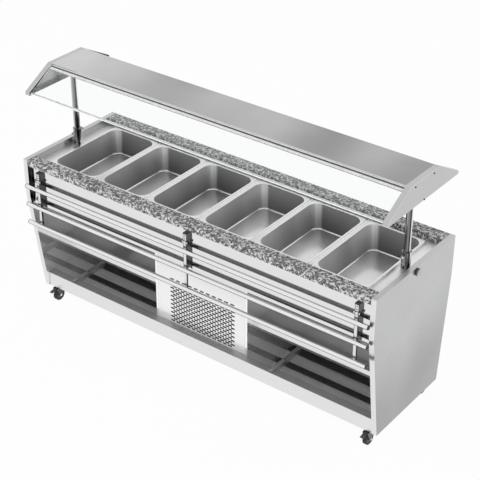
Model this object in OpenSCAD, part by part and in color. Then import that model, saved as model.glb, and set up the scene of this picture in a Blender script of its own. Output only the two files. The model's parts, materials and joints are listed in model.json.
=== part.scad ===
// Mobile refrigerated salad bar. Six deep food pans hang in an insulated cold well between two
// sloping end panels. A canopy with a glass front stands on two posts, a tube tray slide folds
// down in front, two storage bays flank a machine compartment, and four braked casters carry it.
// Millimetres. +Z is up, the customer side faces -Y and +X is to the right. The origin is on the
// floor, at the middle of the footprint.

/* [Body] */
// Height of the stone worktop above the floor
worktop_h = 940; // [920:1:980]
// Thickness of each end panel
panel_t = 28; // [24:1:34]
// Half of the depth across the end panels at the top
half_d = 358; // [350:1:366]
// How far the foot of an end panel reaches forward of the middle
foot_front = 272; // [262:1:282]
// How far the foot of an end panel reaches back from the middle
foot_rear = 300; // [290:1:310]
// Height at which the edges of an end panel begin to slope inwards
knee_h = 720; // [690:1:760]
// Thickness of the folded sheet metal
skin_t = 2; // [1.5:0.1:2.5]
// Clear width between the last pan and an end panel
end_margin = 68; // [62:1:80]

/* [Worktop] */
// Thickness of the stone strips
stone_t = 36; // [28:1:40]
// Width of the stone strips
stone_w = 70; // [60:1:78]
// Height of a pan's rim above the deck
rim_h = 13; // [10:1:16]
// Width of the turned-down lip along the back of the deck
deck_lip = 30; // [20:1:40]

/* [Pans] */
// Width of a pan over its rim
pan_w = 325; // [315:1:335]
// Length of a pan over its rim
pan_l = 527; // [515:1:535]
// Gap between the rims of two pans
pan_gap = 15; // [13:1:20]
// Depth of a pan below its rim
pan_depth = 136; // [100:1:150]
// Wall thickness of a pan
pan_wall = 1; // [0.8:0.1:1.5]
// Width of a pan's flat rim
pan_flange = 12.5; // [11:0.5:14]
// Corner radius of a pan's mouth
pan_corner = 55; // [45:1:65]
// How far a pan's walls draw in towards the bottom
pan_taper = 21; // [10:1:26]

/* [Cold well] */
// Wall thickness of the insulated well
well_wall = 16; // [12:1:20]
// Thickness of the insulated floor of the well
well_floor = 36; // [30:1:45]
// Free height between the pans and the floor of the well
well_space = 22; // [15:1:30]
// Outer diameter of the drain pipe
drain_d = 28; // [24:1:32]
// Bore of the drain pipe
drain_bore = 22; // [18:1:23]

/* [Canopy] */
// Height of the canopy shelf's top above the floor
canopy_h = 1418; // [1380:1:1450]
// Height of the shelf's folded edges
shelf_edge = 28; // [24:1:34]
// How far the flat shelf reaches forward of the middle
shelf_front = 119; // [105:1:135]
// How far the flat shelf reaches back from the middle
shelf_rear = 133; // [120:1:150]
// How far the front tip of a cheek reaches forward
tip_front = 300; // [280:1:315]
// How far the rear tip of a cheek reaches back
tip_rear = 321; // [300:1:335]
// How far a cheek's slopes fall below the shelf's top
tip_drop = 103; // [90:1:115]
// Height of a cheek's blunt tip
tip_t = 18; // [14:1:22]
// Thickness of a cheek over its flanges
cheek_t = 31; // [26:1:36]
// Thickness of the front glass
glass_t = 6; // [5:0.5:8]
// Outer diameter of a canopy post
post_d = 34; // [30:1:38]
// Outer diameter of a post sleeve
sleeve_d = 48; // [46:1:50]
// Height of a post sleeve
sleeve_h = 100; // [85:1:115]
// Distance from an end panel's inner face to the middle of a post
post_inset = 36; // [32:1:38]

/* [Tray slide] */
// Outer diameter of the slide's tubes
tube_d = 25; // [22:1:28]
// Wall thickness of the slide's tubes
tube_wall = 1.5; // [1.2:0.1:2]
// Height of the fold hinge above the floor
hinge_h = 830; // [820:1:840]
// Distance from the fold hinge down to the first tube
tube_first = 40; // [36:1:46]
// Distance between the tubes
tube_pitch = 111.5; // [100:0.5:118]
// Width of a wall bracket
bracket_w = 22; // [20:1:26]
// Depth of a wall bracket
bracket_d = 23; // [22:1:28]
// Height of a wall bracket
bracket_h = 200; // [180:1:210]
// Distance from an end panel's inner face to the middle of an outer bracket
bracket_inset = 72; // [60:1:90]

/* [Lower body] */
// Height of the bottom rails
rail_h = 83; // [70:1:95]
// How far the rails stand back from the feet of the end panels
rail_setback = 4; // [2:1:8]
// How far the upper fascia stands back from the end panels
fascia_setback = 21.5; // [18:0.5:26]
// Height of the upper fascia
fascia_h = 229; // [210:1:235]
// Height of the mid shelves above the floor
shelf_h = 370; // [340:1:420]
// How far the mid shelves' front edge lies forward of the middle
shelf_reach = 165; // [140:1:190]
// Height of the mid shelves' front lip
lip_h = 26; // [20:1:32]
// How far the machine compartment reaches left of the middle
comp_left = 325; // [310:1:340]
// How far the machine compartment reaches right of the middle
comp_right = 286; // [280:1:300]
// How far the compartment's front lies forward of the middle
comp_front = 219; // [214:1:235]

/* [Grille] */
// Length of a grille slot
slot_l = 22; // [16:1:26]
// Height of a grille slot
slot_h = 6; // [4:0.5:7]
// Spacing of the slots along a row
slot_pitch = 35; // [33:1:36]
// Spacing of the rows
row_pitch = 13; // [10:0.5:13.5]
// Number of slots in a row
slot_count = 12; // [6:1:12]
// Number of rows
row_count = 18; // [10:1:18]
// Length of a vent slot in the top row
vent_l = 22; // [16:1:28]
// Spacing of the vent slots
vent_pitch = 40; // [34:1:42]
// Number of vent slots
vent_count = 11; // [6:1:11]

/* [Casters] */
// Diameter of a caster wheel
wheel_d = 70; // [62:1:72]
// Width of a caster wheel
wheel_w = 24; // [20:1:28]
// Height of a caster below its plate
caster_h = 97; // [95:1:103]
// Offset of the axle from the swivel's axis
trail = 22; // [18:1:26]
// Thickness of a caster's top plate
plate_t = 3; // [2.5:0.5:4]

/* [Machine] */
// Diameter of the compressor's shell
compressor_d = 150; // [130:1:170]
// Height of the compressor's shell
compressor_h = 190; // [160:1:210]
// Diameter of the condenser fan
fan_d = 196; // [170:1:204]

/* [Hidden] */

$fn = 48;
// How far a cut runs past the face that it opens
overrun = 1;
// Clearance between sheet parts that are fitted side by side
fit_gap = 0.5;
// Clearance under a lift-out or turning part
seat_gap = 0.3;
// Radial clearance of a shaft in its hole
run_gap = 0.05;
pan_total = 6;

// Places that follow from the driving sizes
pan_pitch = pan_w + pan_gap;
inner_x = pan_total * pan_pitch / 2 + end_margin;
outer_x = inner_x + panel_t;
clear_x = inner_x - fit_gap;
foot_h = caster_h + plate_t;
deck_z = worktop_h - stone_t;
rim_z = deck_z + rim_h;
fascia_y = half_d - fascia_setback;
fascia_z = deck_z - fascia_h;
floor_z = foot_h + rail_h;
rail_front = foot_front - rail_setback;
rail_rear = foot_rear - rail_setback;
back_y = rail_rear - skin_t;

// Cold well: the deck opening carries each pan's skirt by this much
seat_lap = 6.5;
open_x = (pan_total * pan_pitch - pan_gap) / 2 - seat_lap;
open_y = pan_l / 2 - seat_lap;
well_top = deck_z - skin_t;
well_bottom = rim_z - pan_depth - well_space - well_floor;
well_flange = 12;
well_flange_t = 2;

// Tray slide
tray_clear = 1;
arm_t = 12;
arm_side_gap = 1;
cap_t = 5;
cap_plug = 12;
pin_d = 8;
pin_head = 14;
pin_head_t = 6;
tube_overhang = 7;
arm_front = fascia_y + bracket_d + tray_clear;
hinge_y = arm_front - arm_t / 2;
tube_y = arm_front + tube_d / 2;
tube_half = inner_x + tube_overhang;
bracket_top_gap = 24;
bracket_top = deck_z - bracket_top_gap;
arm_w = bracket_w - 2 * skin_t - 2 * arm_side_gap;
arm_end = 16;
tray_x = [-(inner_x - bracket_inset), 0, inner_x - bracket_inset];
tube_z = [for (i = [0:2]) hinge_h - tube_first - i * tube_pitch];

// The footprint runs from the slide's tubes to the back of the end panels
shift_y = (tube_y + tube_d / 2 - half_d) / 2;

// Canopy
cheek_wall = 2.5;
cheek_step = 1;
cheek_x = outer_x + cheek_step - cheek_t;
post_x = inner_x - post_inset;
shelf_under = canopy_h - skin_t;
post_plate_l = 70;
post_plate_w = 50;
post_plate_t = 4;
post_wall = 2;
slope_run = tip_front - shelf_front;
slope_angle = atan(tip_drop / slope_run);
slope_l = norm([slope_run, tip_drop]);

// Post sleeves and their knobs
sleeve_bolt_d = 8;
sleeve_bolt_head = 13;
sleeve_bolt_head_t = 6;
sleeve_bolt_reach = 37;
sleeve_bolt_drop = 19;
set_screw_d = 9;
set_screw_reach = 36;
set_screw_rise = 18;
knob_d = 40;
knob_t = 14;
knob_rise = 8;
knob_screw_d = 8;
knob_hole_gap = 0.5;

// Casters
caster_inset = 38;
caster_x = inner_x - caster_inset;
caster_front = 218;
caster_rear = 250;
member_w = 72;
member_t = 3;

// Machine compartment
comp_flange = 14;
machine_x = 30;

// A box between two corners
module slab(x0, x1, y0, y1, z0, z1)
    translate([x0, y0, z0])
        cube([x1 - x0, y1 - y0, z1 - z0]);

// A round bar along X, Y or Z from one place to another
module bar_x(d, x0, x1, y, z)
    translate([x0, y, z])
        rotate([0, 90, 0])
            cylinder(d = d, h = x1 - x0);

module bar_y(d, x, y0, y1, z)
    translate([x, y1, z])
        rotate([90, 0, 0])
            cylinder(d = d, h = y1 - y0);

module bar_z(d, x, y, z0, z1)
    translate([x, y, z0])
        cylinder(d = d, h = z1 - z0);

// A flat outline in the YZ plane, thickened along X from one place to another
module side_profile(x0, x1, points)
    translate([x0, 0, 0])
        rotate([90, 0, 90])
            linear_extrude(x1 - x0)
                polygon(points);

// A rectangle with round corners
module round_rect(w, l, r) {
    square([w - 2 * r, l], center = true);
    square([w, l - 2 * r], center = true);
    for (sx = [-1, 1], sy = [-1, 1])
        translate([sx * (w / 2 - r), sy * (l / 2 - r)])
            circle(r);
}

// End panels: hollow folded sheet, open underneath
function panel_edge(inset, low) = [
    [-foot_front + inset, low], [foot_rear - inset, low],
    [half_d - inset, knee_h], [half_d - inset, worktop_h - inset],
    [-half_d + inset, worktop_h - inset], [-half_d + inset, knee_h]
];

module end_panel(side)
    color("gainsboro")
        difference() {
            side_profile(side > 0 ? inner_x : -outer_x, side > 0 ? outer_x : -inner_x,
                         panel_edge(0, foot_h));
            side_profile((side > 0 ? inner_x : -outer_x) + skin_t,
                         (side > 0 ? outer_x : -inner_x) - skin_t,
                         panel_edge(skin_t, foot_h - overrun));
            bar_x(knob_screw_d + 2 * knob_hole_gap, side > 0 ? inner_x - overrun : -outer_x - overrun,
                  side > 0 ? outer_x + overrun : -inner_x + overrun, 0, deck_z + knob_rise);
        }

module left_end_panel() end_panel(-1);
module right_end_panel() end_panel(1);

// Base: the bays' floor with its front and rear rails, in one folded sheet
module base_pan()
    color("gainsboro") {
        difference() {
            slab(-clear_x, clear_x, -rail_front, rail_rear, floor_z - skin_t, floor_z);
            bar_z(drain_d + 2 * fit_gap, drain_x, drain_y, floor_z - skin_t - overrun, floor_z + overrun);
        }
        slab(-clear_x, clear_x, -rail_front, -rail_front + skin_t, foot_h, floor_z);
        slab(-clear_x, clear_x, back_y, rail_rear, foot_h, floor_z);
    }

// Channels under the floor that carry the casters
module base_crossmembers()
    color("silver")
        for (side = [-1, 1])
            difference() {
                slab(side * caster_x - member_w / 2, side * caster_x + member_w / 2,
                     -rail_front + skin_t, back_y, foot_h, floor_z - skin_t);
                slab(side * caster_x - member_w / 2 + member_t, side * caster_x + member_w / 2 - member_t,
                     -rail_front - overrun, rail_rear + overrun, foot_h + member_t, floor_z);
            }

// Casters
plate_l = 84;
king_d = 12;
king_washer = 20;
king_washer_t = 3;
head_d = 46;
head_t = 10.5;
yoke_t = 3;
leg_t = 3;
leg_gap = 1.5;
leg_front = 14;
leg_foot = 9;
leg_nose = 28;
leg_nose_drop = 13;
axle_d = 8;
axle_end = 3;
pedal_pin_d = 5;
pedal_pin_back = 5;
pedal_pin_drop = 6;
pedal_l = 40;
pedal_t = 3.5;
pedal_lift = 2;
pedal_tilt = 8;
hub_d = 26;
hub_recess = 3;
tyre_t = 11;
head_top = caster_h - seat_gap;
head_bottom = head_top - head_t;
yoke_bottom = head_bottom - yoke_t;
leg_in = wheel_w / 2 + leg_gap;
leg_out = leg_in + leg_t;
pedal_y = -(trail + leg_nose - pedal_pin_back);
pedal_z = head_bottom - pedal_pin_drop;

// Places of the four casters: side, swivel's Y and turn at rest
function caster_at(front, side) = [side * caster_x, front ? -caster_front : caster_rear];

module at_caster(front, side)
    translate([caster_at(front, side)[0], caster_at(front, side)[1], 0])
        rotate([0, 0, front ? 0 : 180])
            children();

module caster_plate() {
    slab(-member_w / 2, member_w / 2, -plate_l / 2, plate_l / 2, caster_h, foot_h);
    bar_z(king_d, 0, 0, yoke_bottom - seat_gap - king_washer_t, caster_h);
    bar_z(king_washer, 0, 0, yoke_bottom - seat_gap - king_washer_t, yoke_bottom - seat_gap);
}

module caster_plates()
    color("dimgray")
        for (front = [false, true], side = [-1, 1])
            at_caster(front, side)
                caster_plate();

module caster_leg(x0, x1)
    difference() {
        union() {
            side_profile(x0, x1, [
                [leg_front, head_bottom], [leg_front, yoke_bottom],
                [-trail + leg_foot, wheel_d / 2], [-trail - leg_foot, wheel_d / 2],
                [-trail - leg_nose, head_bottom - leg_nose_drop], [-trail - leg_nose, head_bottom]
            ]);
            bar_x(2 * leg_foot, x0, x1, -trail, wheel_d / 2);
        }
        bar_x(pedal_pin_d + 2 * run_gap, x0 - overrun, x1 + overrun, pedal_y, pedal_z);
    }

module caster_fork()
    color("dimgray")
        difference() {
            union() {
                bar_z(head_d, 0, 0, head_bottom, head_top);
                slab(-leg_out, leg_out, -trail, leg_front, yoke_bottom, head_bottom);
                caster_leg(leg_in, leg_out);
                caster_leg(-leg_out, -leg_in);
                bar_x(axle_d, -leg_out - axle_end, leg_out + axle_end, -trail, wheel_d / 2);
            }
            bar_z(king_d + 2 * run_gap, 0, 0, yoke_bottom - overrun, head_top + overrun);
        }

module caster_wheel()
    color("black")
        translate([0, -trail, wheel_d / 2])
            rotate([0, 90, 0])
                difference() {
                    cylinder(d = wheel_d, h = wheel_w, center = true);
                    cylinder(d = axle_d + 2 * run_gap, h = wheel_w + 2 * overrun, center = true);
                    for (up = [0, 1])
                        mirror([0, 0, up])
                            translate([0, 0, wheel_w / 2 - hub_recess])
                                difference() {
                                    cylinder(d = wheel_d - 2 * tyre_t, h = hub_recess + overrun);
                                    translate([0, 0, -overrun])
                                        cylinder(d = hub_d, h = hub_recess + 3 * overrun);
                                }
                }

// Brake pedal, pressed down: a hub on its pin between the fork's legs, and a plate for the foot
module caster_pedal()
    color("black") {
        bar_x(pedal_pin_d, -leg_out, leg_out, pedal_y, pedal_z);
        bar_x(2 * pedal_pin_d, -leg_in + leg_gap, leg_in - leg_gap, pedal_y, pedal_z);
        translate([0, pedal_y, pedal_z])
            rotate([pedal_tilt, 0, 0])
                slab(-leg_in + 2 * leg_gap, leg_in - 2 * leg_gap, -pedal_l, -pedal_pin_d / 2,
                     -pedal_lift, pedal_t - pedal_lift);
    }

module fork_front_left() at_caster(true, -1) caster_fork();
module fork_front_right() at_caster(true, 1) caster_fork();
module fork_rear_left() at_caster(false, -1) caster_fork();
module fork_rear_right() at_caster(false, 1) caster_fork();
module wheel_front_left() at_caster(true, -1) caster_wheel();
module wheel_front_right() at_caster(true, 1) caster_wheel();
module wheel_rear_left() at_caster(false, -1) caster_wheel();
module wheel_rear_right() at_caster(false, 1) caster_wheel();
module pedal_front_left() at_caster(true, -1) caster_pedal();
module pedal_front_right() at_caster(true, 1) caster_pedal();
module pedal_rear_left() at_caster(false, -1) caster_pedal();
module pedal_rear_right() at_caster(false, 1) caster_pedal();

// Upper fascia under the front stone, a folded channel
fascia_return = 20;
module front_fascia()
    color("whitesmoke") {
        slab(-clear_x, clear_x, -fascia_y, -fascia_y + skin_t, fascia_z, deck_z - skin_t);
        slab(-clear_x, clear_x, -fascia_y, -fascia_y + fascia_return, fascia_z, fascia_z + skin_t);
        slab(-clear_x, clear_x, -fascia_y, -fascia_y + fascia_return,
             deck_z - 2 * skin_t, deck_z - skin_t);
    }

// Rear panel with rows of air slots behind the machine
louvre_l = 150;
louvre_h = 8;
louvre_gap = 20;
louvre_rows = 8;
louvre_rise = 60;
module rear_panel()
    color("gainsboro")
        difference() {
            slab(-clear_x, clear_x, back_y, rail_rear, floor_z, deck_z - skin_t);
            for (row = [0:louvre_rows - 1], side = [-1, 1])
                translate([machine_x + side * (louvre_l + louvre_gap) / 2, 0,
                           floor_z + louvre_rise + row * louvre_gap])
                    slab(-louvre_l / 2, louvre_l / 2, back_y - overrun, rail_rear + overrun, 0, louvre_h);
        }

// Mid shelves with a turned-down and returned front lip
lip_return = 12;
module mid_shelf(x0, x1)
    color("gainsboro") {
        slab(x0, x1, -shelf_reach, back_y, shelf_h - skin_t, shelf_h);
        slab(x0, x1, -shelf_reach, -shelf_reach + skin_t, shelf_h - lip_h, shelf_h);
        slab(x0, x1, -shelf_reach, -shelf_reach + lip_return, shelf_h - lip_h, shelf_h - lip_h + skin_t);
    }

module mid_shelf_left() mid_shelf(-clear_x, -comp_left);
module mid_shelf_right() mid_shelf(comp_right, clear_x);

// Ribs on the floor of the bays, from the front rail back
rib_w = 22;
rib_h = 14;
rib_l = 252;
rib_left_gap = 188;
rib_right_gap = 184;
module bay_rib(x)
    difference() {
        slab(x - rib_w / 2, x + rib_w / 2, -rail_front + skin_t, -rail_front + skin_t + rib_l,
             floor_z, floor_z + rib_h);
        slab(x - rib_w / 2 + skin_t, x + rib_w / 2 - skin_t, -rail_front, rib_l,
             floor_z - overrun, floor_z + rib_h - skin_t);
    }

module bay_ribs()
    color("silver") {
        bay_rib(-inner_x + rib_left_gap);
        bay_rib(comp_right + rib_right_gap);
    }

// Machine compartment: two side walls with front flanges, and the grille between them
module compartment_walls()
    color("whitesmoke") {
        slab(-comp_left, -comp_left + skin_t, -comp_front, back_y, floor_z, well_bottom);
        slab(-comp_left, -comp_left + comp_flange, -comp_front, -comp_front + skin_t, floor_z, well_bottom);
        slab(comp_right - skin_t, comp_right, -comp_front, back_y, floor_z, well_bottom);
        slab(comp_right - comp_flange, comp_right, -comp_front, -comp_front + skin_t, floor_z, well_bottom);
    }

// The slotted field starts this far from the panel's left edge and above the floor
field_left = 89;
field_rise = 9;
vent_rise = 276;
vent_h = 5;
module grille_slots() {
    for (row = [0:row_count - 1], i = [0:slot_count - 1])
        translate([i * slot_pitch + (row % 2) * slot_pitch / 2, row * row_pitch])
            square([slot_l, slot_h]);
    for (i = [0:vent_count - 1])
        translate([i * vent_pitch, vent_rise - field_rise - vent_h / 2])
            square([vent_l, vent_h]);
}

module front_grille()
    color("whitesmoke")
        translate([-comp_left + comp_flange + fit_gap, -comp_front + skin_t, floor_z])
            rotate([90, 0, 0])
                linear_extrude(skin_t)
                    difference() {
                        square([comp_left + comp_right - 2 * comp_flange - 2 * fit_gap,
                                well_bottom - floor_z]);
                        translate([field_left, field_rise])
                            grille_slots();
                    }

// Deck with the opening that the pans hang in, and a turned-down lip at the back
module well_deck()
    color("gainsboro") {
        difference() {
            slab(-clear_x, clear_x, -fascia_y, fascia_y, deck_z - skin_t, deck_z);
            slab(-open_x, open_x, -open_y, open_y, deck_z - skin_t - overrun, deck_z + overrun);
        }
        slab(-clear_x, clear_x, fascia_y - skin_t, fascia_y, deck_z - deck_lip, deck_z);
    }

// Insulated well with a flange under the deck and a drain hole
drain_x = 200;
drain_y = 230;
module cold_well()
    color("silver")
        difference() {
            union() {
                slab(-open_x - well_wall, open_x + well_wall, -open_y - well_wall, open_y + well_wall,
                     well_bottom, well_top);
                slab(-open_x - well_wall - well_flange, open_x + well_wall + well_flange,
                     -open_y - well_wall - well_flange, open_y + well_wall + well_flange,
                     well_top - well_flange_t, well_top);
            }
            slab(-open_x, open_x, -open_y, open_y, well_bottom + well_floor, well_top + overrun);
            bar_z(drain_bore, drain_x, drain_y, well_bottom - overrun, well_bottom + well_floor + overrun);
        }

// Divider bars between the pans: a foot under the skirts and a web between them
bar_foot_t = 8;
bar_foot_lap = 6;
bar_side_gap = 0.75;
bar_rim_step = 1;
module divider_bars()
    color("gainsboro")
        for (i = [1:pan_total - 1])
            translate([(i - pan_total / 2) * pan_pitch, 0, 0]) {
                slab(-pan_gap / 2 - bar_foot_lap, pan_gap / 2 + bar_foot_lap,
                     -open_y + fit_gap, open_y - fit_gap, deck_z - bar_foot_t, deck_z);
                slab(-pan_gap / 2 + bar_side_gap, pan_gap / 2 - bar_side_gap,
                     -pan_l / 2, pan_l / 2, deck_z, rim_z - bar_rim_step);
            }

// Stone strips, flush with the tops of the end panels
module front_granite()
    color("darkgray")
        slab(-clear_x, clear_x, -half_d, -half_d + stone_w, deck_z, worktop_h);

module rear_granite()
    color("darkgray")
        slab(-clear_x, clear_x, half_d - stone_w, half_d, deck_z, worktop_h);

// Pan: a flat rim with a skirt that stands on the deck, and a tapered tub
slice_t = 0.1;
bottom_round = 10;
rim_corner = 16;
mouth_w = pan_w - 2 * pan_flange;
mouth_l = pan_l - 2 * pan_flange;
module tub_slice(shrink, grow, z)
    translate([0, 0, z])
        linear_extrude(slice_t)
            round_rect(mouth_w - 2 * shrink + 2 * grow, mouth_l - 2 * shrink + 2 * grow,
                       pan_corner - shrink / 2 + grow);

module tub(grow, z0, z1)
    hull() {
        tub_slice(0, grow, z1 - slice_t);
        tub_slice(pan_taper, grow, z0 + bottom_round);
        tub_slice(pan_taper + bottom_round, grow, z0);
    }

module pan(i)
    color("lightgray")
        translate([(i - (pan_total + 1) / 2) * pan_pitch, 0, 0])
            difference() {
                union() {
                    translate([0, 0, rim_z - pan_wall])
                        linear_extrude(pan_wall)
                            round_rect(pan_w, pan_l, rim_corner);
                    translate([0, 0, deck_z + seat_gap])
                        linear_extrude(rim_h - seat_gap)
                            difference() {
                                round_rect(pan_w, pan_l, rim_corner);
                                round_rect(pan_w - 2 * pan_wall, pan_l - 2 * pan_wall, rim_corner - pan_wall);
                            }
                    tub(pan_wall, rim_z - pan_depth - pan_wall, rim_z, $fn = 32);
                }
                tub(0, rim_z - pan_depth, rim_z + overrun, $fn = 32);
            }

module pan_1() pan(1);
module pan_2() pan(2);
module pan_3() pan(3);
module pan_4() pan(4);
module pan_5() pan(5);
module pan_6() pan(6);

// Canopy posts: a tube from the deck to a plate under the shelf, drilled for the sleeve's bolt
bolt_z = deck_z + sleeve_h - sleeve_bolt_drop;
module canopy_post(side)
    color("silver")
        translate([side * post_x, 0, 0])
            difference() {
                union() {
                    bar_z(post_d, 0, 0, deck_z, shelf_under);
                    slab(-post_plate_w / 2, post_plate_w / 2, -post_plate_l / 2, post_plate_l / 2,
                         shelf_under - post_plate_t, shelf_under);
                }
                bar_z(post_d - 2 * post_wall, 0, 0, deck_z - overrun, shelf_under - post_plate_t);
                bar_y(sleeve_bolt_d + 2 * knob_hole_gap, 0, -post_d, post_d, bolt_z);
            }

module post_left() canopy_post(-1);
module post_right() canopy_post(1);

// Sleeves that hold the posts' feet, each with a through bolt and a set screw
module post_sleeve(side)
    translate([side * post_x, 0, 0]) {
        difference() {
            bar_z(sleeve_d, 0, 0, deck_z, deck_z + sleeve_h);
            bar_z(post_d + 2 * run_gap, 0, 0, deck_z - overrun, deck_z + sleeve_h + overrun);
            bar_x(knob_screw_d + 2 * run_gap, side > 0 ? 0 : -sleeve_d, side > 0 ? sleeve_d : 0,
                  0, deck_z + knob_rise);
        }
        bar_y(sleeve_bolt_d, 0, -sleeve_bolt_reach, sleeve_bolt_reach, bolt_z);
        for (end = [-1, 1])
            bar_y(sleeve_bolt_head, 0, end * sleeve_bolt_reach - sleeve_bolt_head_t / 2,
                  end * sleeve_bolt_reach + sleeve_bolt_head_t / 2, bolt_z);
        bar_y(set_screw_d, 0, -set_screw_reach, -(post_d + sleeve_d) / 4, deck_z + set_screw_rise);
    }

module post_sleeves()
    color("silver") {
        post_sleeve(-1);
        post_sleeve(1);
    }

// Knobs outside the end panels, whose screws reach into the sleeves
module clamp_knob(side)
    color("silver")
        mirror([side > 0 ? 0 : 1, 0, 0]) {
            bar_x(knob_d, outer_x + seat_gap, outer_x + knob_t, 0, deck_z + knob_rise);
            bar_x(knob_screw_d, post_x + (post_d + sleeve_d) / 4, outer_x + knob_t, 0, deck_z + knob_rise);
        }

module clamp_knob_left() clamp_knob(-1);
module clamp_knob_right() clamp_knob(1);

// Canopy shelf: a folded tray, open underneath
module canopy_shelf()
    color("silver")
        difference() {
            slab(-cheek_x, cheek_x, -shelf_front, shelf_rear, canopy_h - shelf_edge, canopy_h);
            slab(-cheek_x + skin_t, cheek_x - skin_t, -shelf_front + skin_t, shelf_rear - skin_t,
                 canopy_h - shelf_edge - overrun, canopy_h - skin_t);
        }

// Cheeks at the canopy's ends: a plate with flanges all round, open towards the middle
function cheek_edge(inset) = [
    [-tip_front + inset, canopy_h - tip_drop - tip_t + inset],
    [tip_rear - inset, canopy_h - tip_drop - tip_t + inset],
    [tip_rear - inset, canopy_h - tip_drop - inset / 2],
    [shelf_rear - inset / 2, canopy_h - inset],
    [-shelf_front + inset / 2, canopy_h - inset],
    [-tip_front + inset, canopy_h - tip_drop - inset / 2]
];

module canopy_cheek(side)
    color("silver")
        mirror([side > 0 ? 0 : 1, 0, 0])
            difference() {
                side_profile(cheek_x, cheek_x + cheek_t, cheek_edge(0));
                side_profile(cheek_x - overrun, cheek_x + cheek_t - cheek_wall, cheek_edge(cheek_wall));
            }

module canopy_cheek_left() canopy_cheek(-1);
module canopy_cheek_right() canopy_cheek(1);

// The canopy's front slope: along it from the shelf's edge, and square to it
module on_slope()
    translate([0, -shelf_front, canopy_h])
        rotate([slope_angle, 0, 0])
            children();

glass_inset = 8;
glass_start = 12;
channel_start = 4;
channel_l = 26;
channel_lip = 3;
module front_glass()
    color([0.8, 0.9, 0.9, 0.35])
        on_slope()
            slab(-cheek_x + fit_gap, cheek_x - fit_gap, -slope_l, -glass_start,
                 -glass_inset - glass_t, -glass_inset);

// Channel that grips the glass along its top edge
module glass_channel()
    color("whitesmoke")
        difference() {
            on_slope()
                difference() {
                    slab(-cheek_x + fit_gap, cheek_x - fit_gap, -channel_start - channel_l, 0,
                         -glass_inset - glass_t - channel_lip, -glass_inset + channel_lip);
                    slab(-cheek_x, cheek_x, -channel_start - channel_l - overrun, -glass_start,
                         -glass_inset - glass_t, -glass_inset);
                }
            slab(-cheek_x, cheek_x, -shelf_front, shelf_rear, canopy_h - tip_drop, canopy_h);
        }

// Light housing under the shelf
light_w = 60;
light_h = 30;
light_end = 150;
module light_bar()
    color("white")
        slab(-cheek_x + light_end, cheek_x - light_end, -light_w / 2, light_w / 2,
             shelf_under - light_h, shelf_under);

// Tray slide: fixed wall brackets, arms on hinge pins, tubes and their end caps
module tray_brackets()
    color("silver")
        for (x = tray_x)
            translate([x, 0, 0])
                difference() {
                    slab(-bracket_w / 2, bracket_w / 2, -fascia_y - bracket_d, -fascia_y,
                         bracket_top - bracket_h, bracket_top);
                    slab(-bracket_w / 2 + skin_t, bracket_w / 2 - skin_t,
                         -fascia_y - bracket_d - overrun, -fascia_y - skin_t,
                         bracket_top - bracket_h - overrun, bracket_top - skin_t);
                    bar_x(pin_d + 2 * run_gap, -bracket_w, bracket_w, -hinge_y, hinge_h);
                }

saddle_h = 16;
saddle_gap = 0.1;
module tray_arms()
    color("gainsboro")
        for (x = tray_x)
            translate([x, 0, 0]) {
                difference() {
                    union() {
                        slab(-arm_w / 2, arm_w / 2, -arm_front, -arm_front + arm_t,
                             tube_z[2] - saddle_h / 2, hinge_h);
                        bar_x(arm_end, -arm_w / 2, arm_w / 2, -hinge_y, hinge_h);
                        for (z = tube_z)
                            slab(-arm_w / 2, arm_w / 2, -tube_y, -arm_front,
                                 z - saddle_h / 2, z + saddle_h / 2);
                    }
                    for (z = tube_z)
                        bar_x(tube_d + 2 * saddle_gap, -bracket_w, bracket_w, -tube_y, z);
                }
                bar_x(pin_d, -bracket_w / 2 - pin_head_t, bracket_w / 2 + pin_head_t, -hinge_y, hinge_h);
                for (end = [0, 1])
                    mirror([end, 0, 0])
                        bar_x(pin_head, bracket_w / 2 + seat_gap, bracket_w / 2 + pin_head_t,
                              -hinge_y, hinge_h);
            }

module tray_tubes()
    color("silver")
        for (z = tube_z)
            difference() {
                bar_x(tube_d, -tube_half + cap_t, tube_half - cap_t, -tube_y, z);
                bar_x(tube_d - 2 * tube_wall, -tube_half, tube_half, -tube_y, z);
            }

module tray_end_caps()
    color("black")
        for (z = tube_z, end = [0, 1])
            mirror([end, 0, 0]) {
                bar_x(tube_d, tube_half - cap_t, tube_half, -tube_y, z);
                bar_x(tube_d - 2 * tube_wall - 2 * run_gap, tube_half - cap_t - cap_plug, tube_half,
                      -tube_y, z);
            }

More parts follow.
